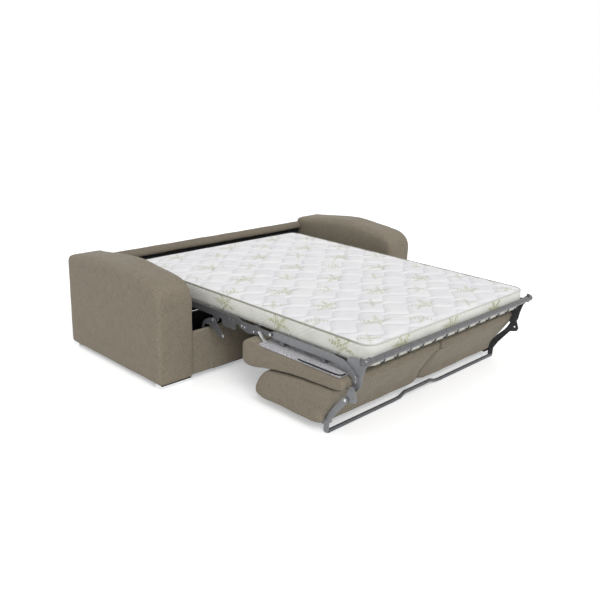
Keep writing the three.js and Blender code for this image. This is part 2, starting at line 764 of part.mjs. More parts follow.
function seatStayGeometry(side) {
  const outline = linkOutline([[stayFootY + stayWide / 2, feltTop + stayWide / 2], [stayTopY, stayTopZ]], stayWide);
  const second = stayStart + stayThick + stayGap;
  return join([
    plateOn(side, outline, stayStart, stayThick),
    plateOn(side, outline, second, stayThick),
    pinOn(side, stayStart + seatGap, second + stayThick + pinHeadThick, stayTopY, stayTopZ, pinRadius),
    blockOn(side, stayStart, second + stayThick, stayFootY - stayWide, stayFootY + stayWide,
      feltTop + seatGap, feltTop + seatGap + stayWide),
  ]);
}

addPiece('seat_stay_left', seatStayGeometry(-1), steel);
addPiece('seat_stay_right', seatStayGeometry(1), darkSteel);

const seatTopZ = feltTop - feltThick - seatGap;
const seatFlatFront = 3;
const seatFlatRear = 20;
const cushionEdge = 12;
const cushionCrown = 1.5;
const seatSpine = [[-372, 258], [-968, 282]];
const seatCorners = [
  [seatLipY, 288], [-316, 232], [-322, 205], [-338, 190], [-395, 187], [-470, 201], [-560, 219], [-740, 241],
  [-890, 248], [-944, 252], [-976, 264], [-992, 284], [seatRearY, 303], [-998, seatTopZ - 2], [-984, seatTopZ],
  [-900, seatTopZ], [-720, seatTopZ], [-560, seatTopZ], [-446, seatTopZ], [-431, seatTopZ], [-426, 320],
  [-412, 331], [-380, 337], [-338, 325], [-318, 308],
];

function cushionPair(prefix, corners, spine, flatZ, flatFace, recess = []) {
  const ring = smoothRing(corners).map((p) => ({
    y: p.y,
    z: flatFace(p) ? flatZ : p.z,
    edge: flatFace(p) ? seatGap : cushionEdge,
    crown: flatFace(p) ? 0 : cushionCrown,
  }));
  addPiece(`${prefix}_left`, cut(padded(ring, -cushionHalf, -cushionSplit / 2, spine), recess), fabric);
  addPiece(`${prefix}_right`, cut(padded(ring, cushionSplit / 2, cushionHalf, spine), recess), fabric);
}

// Mattress in four pieces: the two that stay flat and the two that bend
function mattressRing(y, half, low, high, edge, lowEdge) {
  const steps = 3;
  const topPoints = 5;
  const corner = (x, z, radius, quarter) => Array.from({ length: steps + 1 }, (_, k) => {
    const turn = (quarter + k / steps) * Math.PI / 2;
    return new THREE.Vector3(x + radius * Math.cos(turn), y, z + radius * Math.sin(turn));
  });
  const crest = Array.from({ length: topPoints }, (_, k) => {
    const s = 1 - 2 * (k + 1) / (topPoints + 1);
    return new THREE.Vector3(s * (half - edge), y, high + mattressCrown * (1 - s * s));
  });
  return [
    ...corner(half - lowEdge, low + lowEdge, lowEdge, -1), ...corner(half - edge, high - edge, edge, 0), ...crest,
    ...corner(-half + edge, high - edge, edge, 1), ...corner(-half + lowEdge, low + lowEdge, lowEdge, 2),
  ];
}

const mattressEndShares = [0, 0.04, 0.12, 0.28, 0.55, 1];
const mattressEndShare = 0.8;

function mattressPiece(y0, y1, roundedY0, roundedY1) {
  const low = mattressLow;
  const high = mattressLow + mattressThick;
  const depths = mattressEndShares.map((s) => s * mattressCorner);
  const stations = [
    ...(roundedY0 ? depths : [0]).map((d) => y0 + d),
    ...(roundedY1 ? depths : [0]).map((d) => y1 - d).reverse(),
  ];
  const rings = stations.map((y) => {
    const depth = Math.min(roundedY0 ? y - y0 : mattressCorner, roundedY1 ? y1 - y : mattressCorner);
    const half = mattressHalf - drawIn(mattressCorner, depth);
    const rise = drawIn(mattressLowEdge, depth) * mattressEndShare;
    const dip = drawIn(mattressEdge, depth) * mattressEndShare;
    return mattressRing(y, half, low + rise, high - dip, mattressEdge, mattressLowEdge);
  });
  return loft(rings, (p) => new THREE.Vector2(p.x, p.z));
}

const middleStartY = frontHingeY + foldReach;
const middleEndY = headHingeY - headOverlap;
const footStartY = footHingeY - foldReach;
addPiece('mattress_foot', mattressPiece(mattressFootY, footStartY, true, false), ticking);
addPiece('mattress_fold', mattressPiece(footStartY + mattressJoint, middleStartY - mattressJoint, false, false), ticking);
addPiece('mattress_middle', mattressPiece(middleStartY, middleEndY, false, false), ticking);
addPiece('mattress_head', mattressPiece(middleEndY + mattressJoint, mattressHeadY, false, true), ticking);

cushionPair('seat_cushion', seatCorners, seatSpine, seatTopZ,
  (p) => p.z > seatTopZ - cushionCrown && p.y < feltFrontY + seatFlatFront && p.y > feltRearY - seatFlatRear);

// Backrest: a rear board let into two thick cushions and a steel bracket at each side
const boardHalf = cushionHalf - boardInset;
addPiece('back_board', boardGeometry(
  -boardHalf, boardHalf, boardEndY, boardTopY, boardLow, boardLow + boardThick, boardThick / 6), fabric);

const backLowZ = boardLow + 1;
const backSpine = [[-485, 118], [-850, 143]];
const backCorners = [
  [-415, 92], [-422, 68], [-444, 50], [-478, backLowZ], [-560, backLowZ], [-690, backLowZ], [-790, backLowZ],
  [-824, backLowZ + 1], [-842, 58], [-866, 79], [-900, 134], [-938, 196], [-966, 242], [-970, 254], [-960, 253],
  [-944, 246], [-890, 242], [-740, 235], [-560, 213], [-500, 200], [-462, 176], [-430, 132],
];
const boardRecess = block(
  -boardHalf - seatGap, boardHalf + seatGap, boardEndY - seatGap, boardTopY + seatGap,
  boardLow - overrun, boardLow + boardThick + seatGap);
cushionPair('back_cushion', backCorners, backSpine, backLowZ,
  (p) => p.z < backLowZ + cushionCrown && p.y > boardEndY - boardThick && p.y < boardTopY + boardThick, [boardRecess]);

const strapPath = [[legPinY, legPinZ], [-922, 140], [-877, 73], [-857, 47]];
const strapWide = 20;
const strapRivets = [[-950, 168], [-904, 113], [-884, 84]];
const bracketHead = [
  [-1026, 272], [-1046, 222], [-1038, 204], [-999, 193], [-973, 199], [-974, 214], [-998, 258], [-1002, 276],
  [-1016, 280]];
const bracketSlot = [-1021, 226];
const tongueSize = { inner: -868, outer: -760, low: 33 };
const bridgeSize = { outer: -850, low: 34, high: 50 };

function backBracketGeometry(side) {
  const end = bracketStart + bracketThick;
  const { inner, outer, low } = tongueSize;
  const body = join([
    plateOn(side, linkOutline(strapPath, strapWide), bracketStart, bracketThick),
    plateOn(side, bracketHead, bracketStart, bracketThick),
    blockOn(side, bracketStart - hangerFlange, end, inner, outer, low, boardLow - seatGap),
    blockOn(side, bracketStart, end, inner, bridgeSize.outer, bridgeSize.low, bridgeSize.high),
    ...rivetsOn(side, end, strapRivets),
  ]);
  const bored = cut(body, [
    boreOn(side, bracketStart, end, backHingeY, backHingeZ), boreOn(side, bracketStart, end, ...bracketSlot)]);
  return join([bored, pinOn(side, end - overrun, legStart + legThick + seatGap * 2, legPinY, legPinZ, pinRadius)]);
}

addPiece('back_bracket_left', backBracketGeometry(-1), steel);
addPiece('back_bracket_right', backBracketGeometry(1), darkSteel);

// Floor leg: a bent bar at each side and a hoop with a shallow bow between them
function legBarGeometry(side) {
  const end = legStart + legThick;
  const path = [[legPinY, legPinZ], [legKneeY, legKneeZ], [legAnkleY, legAnkleZ], [legFootY, legWide / 2]];
  const plate = plateOn(side, linkOutline(path, legWide), legStart, legThick);
  return cut(plate, [boreOn(side, legStart, end, legPinY, legPinZ)]);
}

function hoopGeometry() {
  const end = legStart - seatGap;
  const ramp = hoopBowTall * 2;
  const liftShares = [
    [-end, 0], [hoopBowFromX - ramp * 2, 0], [hoopBowFromX - ramp, 0], [hoopBowFromX, 1],
    [hoopBowFromX + ramp, 1], [hoopBowToX - ramp, 1], [hoopBowToX, 1], [hoopBowToX + ramp, 0],
    [hoopBowToX + ramp * 2, 0], [end, 0]];
  const corners = liftShares.map(([x, share]) => new THREE.Vector3(x, hoopY, hoopRadius + share * hoopBowTall));
  const shape = new THREE.Shape();
  shape.absarc(0, 0, hoopRadius, 0, Math.PI * 2, false);
  return new THREE.ExtrudeGeometry(shape, {
    steps: 32, curveSegments: 6, bevelEnabled: false,
    extrudePath: new THREE.CatmullRomCurve3(corners, false, 'centripetal'),
  });
}

addPiece('leg_bar_left', legBarGeometry(-1), steel);
addPiece('leg_bar_right', legBarGeometry(1), darkSteel);
addPiece('floor_hoop', hoopGeometry(), steel);

// Centre the whole object over the origin
const frontReachY = tubeY - tubeRadius;
bed.position.y = -(frontReachY + armDeep) / 2;

export default bed;
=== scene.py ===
import math

import bpy
import numpy as np
from mathutils import Matrix, Vector, noise


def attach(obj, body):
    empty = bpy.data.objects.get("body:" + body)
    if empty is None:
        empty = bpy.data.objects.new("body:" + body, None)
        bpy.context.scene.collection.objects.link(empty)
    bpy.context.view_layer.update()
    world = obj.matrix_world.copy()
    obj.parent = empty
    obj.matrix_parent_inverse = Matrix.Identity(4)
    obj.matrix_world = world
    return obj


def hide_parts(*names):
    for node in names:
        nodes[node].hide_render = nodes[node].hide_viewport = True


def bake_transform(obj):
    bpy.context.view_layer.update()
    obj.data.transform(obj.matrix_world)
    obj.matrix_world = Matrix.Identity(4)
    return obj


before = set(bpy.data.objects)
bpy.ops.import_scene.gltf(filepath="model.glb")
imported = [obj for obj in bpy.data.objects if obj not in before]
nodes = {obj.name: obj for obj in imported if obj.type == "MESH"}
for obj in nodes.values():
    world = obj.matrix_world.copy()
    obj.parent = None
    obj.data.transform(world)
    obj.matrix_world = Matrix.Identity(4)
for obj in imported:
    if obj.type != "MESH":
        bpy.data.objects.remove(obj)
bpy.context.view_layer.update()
scene = bpy.context.scene

# Y of the arms' front face, from which most places along y are measured
FRONT_Y = 0.10225


# Node graphs
class Graph:
    """A material's node tree, built one call at a time."""

    def __init__(self, name):
        self.material = bpy.data.materials.new(name)
        self.material.use_nodes = True
        self.tree = self.material.node_tree
        self.tree.nodes.clear()
        self.out = self.tree.nodes.new("ShaderNodeOutputMaterial")
        self.bsdf = self.tree.nodes.new("ShaderNodeBsdfPrincipled")
        self.tree.links.new(self.bsdf.outputs[0], self.out.inputs[0])
        self.coords = self.tree.nodes.new("ShaderNodeTexCoord").outputs["Object"]

    def put(self, socket, value):
        if isinstance(value, bpy.types.NodeSocket):
            self.tree.links.new(value, socket)
        elif value is not None:
            socket.default_value = value

    def set(self, **values):
        for key, value in values.items():
            self.put(self.bsdf.inputs[key.replace("_", " ")], value)

    def math(self, op, a, b=None):
        node = self.tree.nodes.new("ShaderNodeMath")
        node.operation = op
        for socket, value in zip(node.inputs, (a, b)):
            self.put(socket, value)
        return node.outputs[0]

    def vector(self, op, a, b):
        node = self.tree.nodes.new("ShaderNodeVectorMath")
        node.operation = op
        self.put(node.inputs[0], a)
        self.put(node.inputs[1], b)
        return node.outputs[0]

    def scaled(self, scale):
        return self.vector("MULTIPLY", self.coords, scale)

    def split(self):
        node = self.tree.nodes.new("ShaderNodeSeparateXYZ")
        self.put(node.inputs[0], self.coords)
        return node.outputs

    def noise(self, scale, detail=3.0, rough=0.5, source=None):
        node = self.tree.nodes.new("ShaderNodeTexNoise")
        self.put(node.inputs["Vector"], source or self.coords)
        node.inputs["Scale"].default_value = scale
        node.inputs["Detail"].default_value = detail
        node.inputs["Roughness"].default_value = rough
        return node.outputs[0]

    def span(self, value, a, b, c=0.0, d=1.0):
        """The value carried from the range a to b onto c to d, and held there."""
        node = self.tree.nodes.new("ShaderNodeMapRange")
        for socket, v in zip(node.inputs, (value, a, b, c, d)):
            self.put(socket, v)
        return node.outputs[0]

    def mix(self, factor, a, b):
        node = self.tree.nodes.new("ShaderNodeMix")
        node.data_type = "RGBA"
        self.put(node.inputs[0], factor)
        self.put(node.inputs[6], a if isinstance(a, bpy.types.NodeSocket) else rgba(a))
        self.put(node.inputs[7], b if isinstance(b, bpy.types.NodeSocket) else rgba(b))
        return node.outputs[2]

    def bump(self, height, strength, distance, normal=None):
        node = self.tree.nodes.new("ShaderNodeBump")
        node.inputs["Strength"].default_value = strength
        node.inputs["Distance"].default_value = distance
        self.put(node.inputs["Height"], height)
        if normal is not None:
            self.put(node.inputs["Normal"], normal)
        return node.outputs[0]


def rgba(color):
    return (*color[:3], 1.0)


def linear(red, green, blue):
    """Linear colour from 0 to 255 screen values."""
    def one(v):
        v /= 255.0
        return v / 12.92 if v <= 0.04045 else ((v + 0.055) / 1.055) ** 2.4
    return one(red), one(green), one(blue)


def toned(color, share):
    """The colour made darker or lighter."""
    return tuple(min(1.0, c * share) for c in color)


# Materials
WARP_SCALE = (250.0, 250.0, 52.0)  # noise cells per metre along x, y and z, as for the next ones
WEFT_SCALE = (58.0, 58.0, 300.0)
OVER_SCALE = (52.0, 260.0, 260.0)
THREAD_ACROSS, THREAD_UP = 2600.0, 3200.0  # radians per metre
CLOTH_SPECULAR, TICKING_SPECULAR = 0.15, 0.25
SHEEN_TINT = (0.95, 0.93, 0.88, 1.0)


def woven(name, color):
    """Brushed linen-look cloth."""
    g = Graph(name)
    x, y, z = g.split()
    warp = g.noise(1.0, 3.0, 0.65, g.scaled(WARP_SCALE))
    weft = g.noise(1.0, 3.0, 0.65, g.scaled(WEFT_SCALE))
    over = g.noise(1.0, 2.0, 0.60, g.scaled(OVER_SCALE))
    fine = g.noise(620.0, 2.0, 0.6)
    cloud = g.noise(21.0, 4.0, 0.60)
    broad = g.noise(4.2, 2.0, 0.5)
    thread = g.math(
        "MULTIPLY", g.math("SINE", g.math("MULTIPLY", g.math("ADD", x, y), THREAD_ACROSS)),
        g.math("SINE", g.math("MULTIPLY", z, THREAD_UP)))
    grain = g.math("ADD", g.math("MULTIPLY", warp, 0.46), g.math("MULTIPLY", weft, 0.30))
    grain = g.math("ADD", grain, g.math("MULTIPLY", over, 0.24))
    tone = g.math("ADD", g.math("MULTIPLY", grain, 0.80), g.math("MULTIPLY", cloud, 0.20))
    base = g.mix(g.span(tone, 0.39, 0.61), toned(color, 0.70), toned(color, 1.30))
    base = g.mix(g.span(cloud, 0.36, 0.66, 0.0, 0.30), base, toned(color, 0.80))
    base = g.mix(g.span(broad, 0.35, 0.65, 0.0, 0.22), base, toned(color, 0.86))
    base = g.mix(g.span(thread, -1.0, 1.0, 0.0, 0.10), base, toned(color, 0.55))
    height = g.math("ADD", g.math("MULTIPLY", grain, 0.7), g.math("MULTIPLY", fine, 0.3))
    normal = g.bump(thread, 0.25, 0.0004)
    normal = g.bump(height, 0.50, 0.0022, normal)
    normal = g.bump(cloud, 0.30, 0.005, normal)
    g.set(Base_Color=base, Normal=normal)
    g.set(Roughness=0.92, Sheen_Weight=0.22, Sheen_Roughness=0.40, Sheen_Tint=SHEEN_TINT)
    g.set(Specular_IOR_Level=CLOTH_SPECULAR)
    return g.material


def painted_steel(name, color, rough=0.34, metallic=0.30):
    """Satin lacquer on steel with faint wear and dust."""
    g = Graph(name)
    wear = g.noise(46.0, 5.0, 0.62)
    scuff = g.noise(1.0, 3.0, 0.6, g.scaled((220.0, 18.0, 60.0)))
    fleck = g.noise(900.0, 2.0, 0.5)
    base = g.mix(g.span(wear, 0.40, 0.72, 0.0, 0.45), color, toned(color, 1.45))
    base = g.mix(g.span(scuff, 0.60, 0.78, 0.0, 0.35), base, toned(color, 0.55))
    worn = g.math("ADD", wear, g.math("MULTIPLY", scuff, 0.5))
    g.set(Base_Color=base, Metallic=metallic, Roughness=g.span(worn, 0.45, 1.1, rough - 0.06, rough + 0.20))
    g.set(Normal=g.bump(fleck, 0.12, 0.0003, g.bump(wear, 0.10, 0.0010)))
    return g.material


def bright_steel(name, color=(0.72, 0.73, 0.74), rough=0.22):
    """Zinc-plated rivet heads."""
    g = Graph(name)
    stain = g.noise(160.0, 4.0, 0.6)
    base = g.mix(g.span(stain, 0.4, 0.75, 0.0, 0.5), color, toned(color, 0.62))
    g.set(Base_Color=base, Metallic=1.0, Roughness=g.span(stain, 0.3, 0.8, rough, rough + 0.22))
    g.set(Normal=g.bump(stain, 0.15, 0.0004))
    return g.material


def chrome(name):
    """Polished chrome of the feet, with a faint haze."""
    g = Graph(name)
    haze = g.noise(60.0, 4.0, 0.6)
    brush = g.noise(1.0, 2.0, 0.5, g.scaled((14.0, 900.0, 900.0)))
    g.set(Base_Color=g.mix(g.span(haze, 0.35, 0.8, 0.0, 0.35), (0.80, 0.81, 0.82), (0.62, 0.63, 0.65)),
          Metallic=1.0, Roughness=g.span(haze, 0.3, 0.8, 0.08, 0.20))
    g.set(Normal=g.bump(brush, 0.05, 0.0003))
    return g.material


def felt(name):
    """Pressed felt of mixed grey, white and mauve fibres."""
    g = Graph(name)
    fleck = g.noise(120.0, 3.0, 0.75)
    fine = g.noise(420.0, 3.0, 0.7)
    tint = g.noise(88.0, 3.0, 0.7, g.vector("ADD", g.coords, (3.1, 1.7, 0.4)))
    dark = g.noise(105.0, 3.0, 0.7, g.vector("ADD", g.coords, (7.3, 5.2, 2.6)))
    base = g.mix(g.span(fleck, 0.42, 0.58), linear(122, 122, 127), linear(204, 204, 207))
    base = g.mix(g.span(tint, 0.55, 0.63, 0.0, 0.70), base, linear(158, 140, 160))
    base = g.mix(g.span(dark, 0.60, 0.67, 0.0, 0.80), base, linear(96, 95, 102))
    base = g.mix(g.span(fine, 0.35, 0.65, 0.0, 0.30), base, linear(232, 232, 234))
    g.set(Base_Color=base, Roughness=0.96, Normal=g.bump(fine, 0.5, 0.0015, g.bump(fleck, 0.5, 0.0030)))
    g.set(Sheen_Weight=0.15, Sheen_Roughness=0.6)
    return g.material


def plain_cloth(name, color):
    """Thin lining cloth."""
    g = Graph(name)
    fleck = g.noise(300.0, 3.0, 0.6)
    fold = g.noise(12.0, 3.0, 0.5)
    base = g.mix(g.span(fleck, 0.3, 0.7), toned(color, 0.7), toned(color, 1.3))
    g.set(Base_Color=base, Roughness=0.93, Normal=g.bump(fold, 0.4, 0.006, g.bump(fleck, 0.4, 0.0008)))
    return g.material


TAUPE = linear(138, 129, 114)
upholstery = woven("upholstery", TAUPE)
# The rail's cloth is the upholstery painted darker, as painted shade.
rail_cloth_shaded = woven("rail_cloth_shaded", toned(TAUPE, 0.80))
# Near-black cloth for the dust cover, where it is also painted shade in the well, and for the welts.
cover_black = plain_cloth("cover_black", (0.006, 0.006, 0.007))
cushion_cloth = woven("cushion_cloth", toned(TAUPE, 1.02))
# One grey steel paint in three copies, painted lit, half shaded and shaded for the light and shade where each
# part sits: painted light and painted shade.
steel_light = painted_steel("steel_light", linear(128, 129, 132))
steel_painted_half_shade = painted_steel("steel_painted_half_shade", linear(96, 97, 100))
steel_dark = painted_steel("steel_dark", linear(62, 63, 66))
# A near-white copy of the same steel paint, as a painted highlight on the part it is given to.
steel_painted_highlight = painted_steel("steel_painted_highlight", linear(206, 207, 209), 0.22, 0.45)
tube_steel = painted_steel("tube_steel", linear(104, 104, 106), 0.26, 0.55)
hoop_steel = painted_steel("hoop_steel", linear(92, 93, 97), 0.24, 0.50)
rivet_steel = bright_steel("rivet_steel")
foot_chrome = chrome("foot_chrome")
felt_grey = felt("felt_grey")
# Near-black cloth: the back panel's lining, and also painted shade for the dark well behind the fascia.
lining_black_and_shade = plain_cloth("lining_black_and_shade", (0.010, 0.010, 0.012))


# Mesh helpers
def new_object(name, mesh, material=None):
    obj = bpy.data.objects.new(name, mesh)
    scene.collection.objects.link(obj)
    if material is not None:
        mesh.materials.clear()
        mesh.materials.append(material)
    return obj


def mesh_from(name, verts, faces, smooth=True):
    mesh = bpy.data.meshes.new(name)
    mesh.from_pydata([tuple(v) for v in verts], [], [tuple(f) for f in faces])
    mesh.update()
    if smooth:
        mesh.polygons.foreach_set("use_smooth", [True] * len(mesh.polygons))
    return mesh


def applied(obj):
    """Replaces the object's mesh by its evaluated one and removes its modifiers."""
    graph = bpy.context.evaluated_depsgraph_get()
    mesh = bpy.data.meshes.new_from_object(obj.evaluated_get(graph), depsgraph=graph)
    obj.modifiers.clear()
    old = obj.data
    obj.data = mesh
    bpy.data.meshes.remove(old)
    mesh.polygons.foreach_set("use_smooth", [True] * len(mesh.polygons))


def copy_of(node, name, material):
    """A new piece with the node's own mesh, which stays as it is."""
    mesh = nodes[node].data.copy()
    mesh.name = name
    return new_object(name, mesh, material)


def smoothed(obj, rounds):
    """Adds the modifier that evens out a remeshed surface."""
    soft = obj.modifiers.new("soft", "SMOOTH")
    soft.iterations = rounds
    soft.factor = 0.5


def remeshed(obj, voxel, rounds):
    """An even mesh over the CAD form, with its edges rounded by the smoothing."""
    mod = obj.modifiers.new("remesh", "REMESH")
    mod.mode = "VOXEL"
    mod.voxel_size = voxel
    smoothed(obj, rounds)
    applied(obj)


def points(obj):
    co = np.empty(len(obj.data.vertices) * 3, np.float64)
    obj.data.vertices.foreach_get("co", co)
    return co.reshape(-1, 3)


def set_points(obj, co):
    obj.data.vertices.foreach_set("co", np.ascontiguousarray(co, dtype=np.float32).ravel())
    obj.data.update()


def normals(obj):
    out = np.empty(len(obj.data.vertices) * 3, np.float32)
    obj.data.vertices.foreach_get("normal", out)
    return out.reshape(-1, 3).astype(np.float64)


def ripple(obj, size, height, seed):
    """Moves the points along their normals by a smooth noise, so that padding isn't perfectly flat."""
    co, nor = points(obj), normals(obj)
    offset = Vector((seed, seed * 1.7, seed * 0.6))
    amount = np.array([noise.noise(Vector(p) / size + offset) for p in co]) * height
    set_points(obj, co + nor * amount[:, None])


def ring_band(faces, before, after):
    """Joins two rings of the same number of points by four-sided faces."""
    for q in range(len(before)):
        n = (q + 1) % len(before)
        faces.append((before[q], before[n], after[n], after[q]))


def paint(material, *names):
    """Gives CAD nodes that stay in view their material."""
    for name in names:
        data = nodes[name].data
        data.materials.clear()
        data.materials.append(material)


# Base: arms, boards and rail
def covered(node, name, body, material, voxel, rounds, ripples):
    """A padded or cloth-covered piece over its CAD node; a ripple is a size, a height and a seed."""
    obj = copy_of(node, name, material)
    remeshed(obj, voxel, rounds)
    for size, height, seed in ripples:
        ripple(obj, size, height, seed)
    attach(obj, body)
    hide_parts(node)


for side, word in ((-1, "left"), (1, "right")):
    covered(
        f"arm_{word}", f"arm_cover_{word}", "base", upholstery, 0.011, 6,
        ((0.26, 0.0035, 3.1 * side), (0.09, 0.0012, 1.3 * side)))
covered(
    "fascia_panel", "fascia_cover", "base", upholstery, 0.008, 3,
    ((0.14, 0.0022, 2.2),))
covered(
    "top_rail", "rail_cover", "base", rail_cloth_shaded, 0.008, 3,
    ((0.14, 0.0022, 5.1),))
# The back panel's near-black cover is partly its lining and partly painted shade for the well behind the
# fascia.
covered(
    "back_panel", "rear_panel_cover", "base", lining_black_and_shade, 0.009, 2,
    ((0.2, 0.0020, 8.4),))

for word in ("left", "right"):
    paint(foot_chrome, f"foot_front_{word}", f"foot_rear_{word}")
    paint(steel_dark, f"side_plate_{word}")
# Painted light and shade on the steel: each left-hand piece gets its lit, half-shaded or highlight tone, and
# every right-hand copy gets the shaded tone.
for stem, left_light_tone in (
        ("swing_arm_front", steel_painted_half_shade), ("swing_arm_rear", steel_painted_half_shade), ("middle_rail", steel_painted_half_shade),
        ("spacer_link", steel_painted_half_shade), ("foot_rail", steel_light), ("seat_stay", steel_painted_highlight),
        ("back_bracket", steel_light), ("leg_bar", steel_light), ("end_plate", steel_light)):
    paint(left_light_tone, f"{stem}_left")
    paint(steel_dark, f"{stem}_right")
paint(steel_painted_half_shade, "middle_mesh", "head_frame", "spacer_tube")
paint(steel_dark, "foot_mesh")
paint(hoop_steel, "floor_hoop")


# Foot tube: its ends turn back and are pressed flat against the end plates
TUBE_Y, TUBE_Z, TUBE_RADIUS = -1.092 + FRONT_Y, 0.420, 0.0145
TUBE_STRAIGHT = 0.728  # half of its straight length
TUBE_BEND, TUBE_TURN = 0.017, math.radians(128)  # radius and angle of an end's bend
TUBE_FLAT, TUBE_SPREAD = 0.68, 0.25  # shares by which the end gets thinner and taller
TUBE_RINGS, TUBE_BEND_RINGS, TUBE_SIDES = 13, 12, 20


def tube_path():
    """Centre, direction, half height and half thickness of the tube's section at each ring."""
    half = [
        (x, TUBE_Y, 1.0, 0.0, TUBE_RADIUS, TUBE_RADIUS)
        for x in np.linspace(0.0, TUBE_STRAIGHT, TUBE_RINGS)]
    for a in np.linspace(0.0, 1.0, TUBE_BEND_RINGS)[1:]:
        turn = a * TUBE_TURN
        flat = a * a * (3 - 2 * a)
        half.append((
            TUBE_STRAIGHT + TUBE_BEND * math.sin(turn), TUBE_Y + TUBE_BEND * (1 - math.cos(turn)),
            math.cos(turn), math.sin(turn),
            TUBE_RADIUS * (1 + TUBE_SPREAD * flat), TUBE_RADIUS * (1 - TUBE_FLAT * flat)))
    mirrored = [(-x, y, dx, -dy, tall, thick) for x, y, dx, dy, tall, thick in half[:0:-1]]
    return mirrored + half


def tube_mesh(name, material):
    verts, faces, rings = [], [], []
    for x, y, dx, dy, tall, thick in tube_path():
        rings.append(range(len(verts), len(verts) + TUBE_SIDES))
        for q in range(TUBE_SIDES):
            turn = 2 * math.pi * q / TUBE_SIDES
            out, up = math.cos(turn) * thick, math.sin(turn) * tall
            verts.append((x - dy * out, y + dx * out, TUBE_Z + up))
    for before, after in zip(rings, rings[1:]):
        ring_band(faces, after, before)
    faces.append(tuple(rings[0]))
    faces.append(tuple(reversed(rings[-1])))
    return new_object(name, mesh_from(name, verts, faces), material)


foot_rod = tube_mesh("foot_rod", tube_steel)
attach(foot_rod, "foot")
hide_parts("foot_tube", "tube_cap_left", "tube_cap_right")


# Rivet and pin heads on the steel, seen on its outer faces: x of the face, y, z, radius
HEADS = {
    "swing_arms_front": [(0.7391, -0.040, 0.338, 0.0085), (0.736, -0.120, 0.268, 0.0095)],
    "swing_arms_rear": [(0.7391, 0.260, 0.338, 0.0085)],
    "middle": [
        (0.718, 0.098, 0.366, 0.0055), (0.718, 0.060, 0.366, 0.0055),
        (0.718, -0.150, 0.368, 0.0055), (0.718, -0.182, 0.368, 0.0055)],
    "spacer": [
        (0.7272, -0.262, 0.362, 0.006), (0.7272, -0.284, 0.360, 0.006), (0.7272, -0.352, 0.354, 0.006)],
    "foot": [
        (0.718, -1.018, 0.321, 0.006), (0.718, -1.019, 0.301, 0.006), (0.7266, -0.471, 0.372, 0.008)],
    "back": [
        (0.7406, -0.985, 0.205, 0.0085), (0.731, -0.950, 0.168, 0.006),
        (0.731, -0.904, 0.113, 0.006), (0.731, -0.884, 0.084, 0.006)],
}
HEAD_SIDES, HEAD_STEPS = 14, 4
HEAD_RISE = 0.26  # height as a share of the radius
HEAD_SUNK = 0.0004  # how far a head's rim lies in the steel


def dome(face, y, z, radius, side, verts, faces):
    """A low dome whose rim is on the steel's face, on the left for side -1."""
    sunk = face - HEAD_SUNK
    rings = []
    for k in range(HEAD_STEPS):
        lift = math.sin(math.pi / 2 * k / HEAD_STEPS)
        wide = math.cos(math.pi / 2 * k / HEAD_STEPS)
        rings.append(range(len(verts), len(verts) + HEAD_SIDES))
        for q in range(HEAD_SIDES):
            turn = 2 * math.pi * q / HEAD_SIDES
            verts.append((
                side * (sunk + radius * HEAD_RISE * lift),
                y + radius * wide * math.cos(turn), z + radius * wide * math.sin(turn)))
    top = len(verts)
    verts.append((side * (sunk + radius * HEAD_RISE), y, z))
    for low, high in zip(rings, rings[1:]):
        ring_band(faces, *((low, high) if side > 0 else (high, low)))
    for q, a in enumerate(rings[-1]):
        b = rings[-1][(q + 1) % HEAD_SIDES]
        faces.append((a, b, top) if side > 0 else (top, b, a))
    faces.append(tuple(reversed(rings[0])) if side > 0 else tuple(rings[0]))


for body, spots in HEADS.items():
    for side, word in ((-1, "left"), (1, "right")):
        verts, faces = [], []
        for face, y, z, radius in spots:
            dome(face, y + FRONT_Y, z, radius, side, verts, faces)
        name = f"{body}_heads_{word}"
        heads = new_object(name, mesh_from(name, verts, faces), rivet_steel)
        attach(heads, body)


# Black dust cover, stapled under the fascia and the back panel; its near-black cloth also stands for the deep
# shade in the well under the frame, as painted shade.
# The folded mechanism goes down past its side edges.
COVER_HALF, COVER_LAP = 0.692, 0.008
COVER_FRONT = 0.118  # in the frame, not from the arms' front
COVER_THICK, COVER_SAG, COVER_CREASE, COVER_DROP = 0.0008, 0.004, 0.0008, 0.0010
COVER_COLUMNS, COVER_ROWS = 56, 28
COVER_REAR = float(points(nodes["back_panel"])[:, 1].min()) + COVER_LAP
COVER_Z = float(points(nodes["fascia_panel"])[:, 2].min()) - COVER_DROP
verts, faces = [], []
for j in range(COVER_ROWS + 1):
    for i in range(COVER_COLUMNS + 1):
        u, v = i / COVER_COLUMNS, j / COVER_ROWS
        belly = 16 * u * (1 - u) * v * (1 - v)  # 0 along the edges, 1 in the middle
        crease = COVER_CREASE * noise.noise(Vector((u * 9.0, v * 5.0, 2.0))) * min(1.0, belly * 3)
        verts.append((
            (2 * u - 1) * COVER_HALF, COVER_FRONT + v * (COVER_REAR - COVER_FRONT),
            COVER_Z - COVER_SAG * belly + crease))
for j in range(COVER_ROWS):
    for i in range(COVER_COLUMNS):
        a = j * (COVER_COLUMNS + 1) + i
        faces.append((a, a + 1, a + COVER_COLUMNS + 2, a + COVER_COLUMNS + 1))
dust_cover_and_shade = new_object("dust_cover_and_shade", mesh_from("dust_cover_and_shade", verts, faces), cover_black)
layer = dust_cover_and_shade.modifiers.new("layer", "SOLIDIFY")
layer.thickness = COVER_THICK
applied(dust_cover_and_shade)
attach(dust_cover_and_shade, "base")


# Cushions
STRAP_X, STRAP_CLEAR = 0.735, 0.011  # the backrest bracket's strap, and how wide the cushion leaves it free

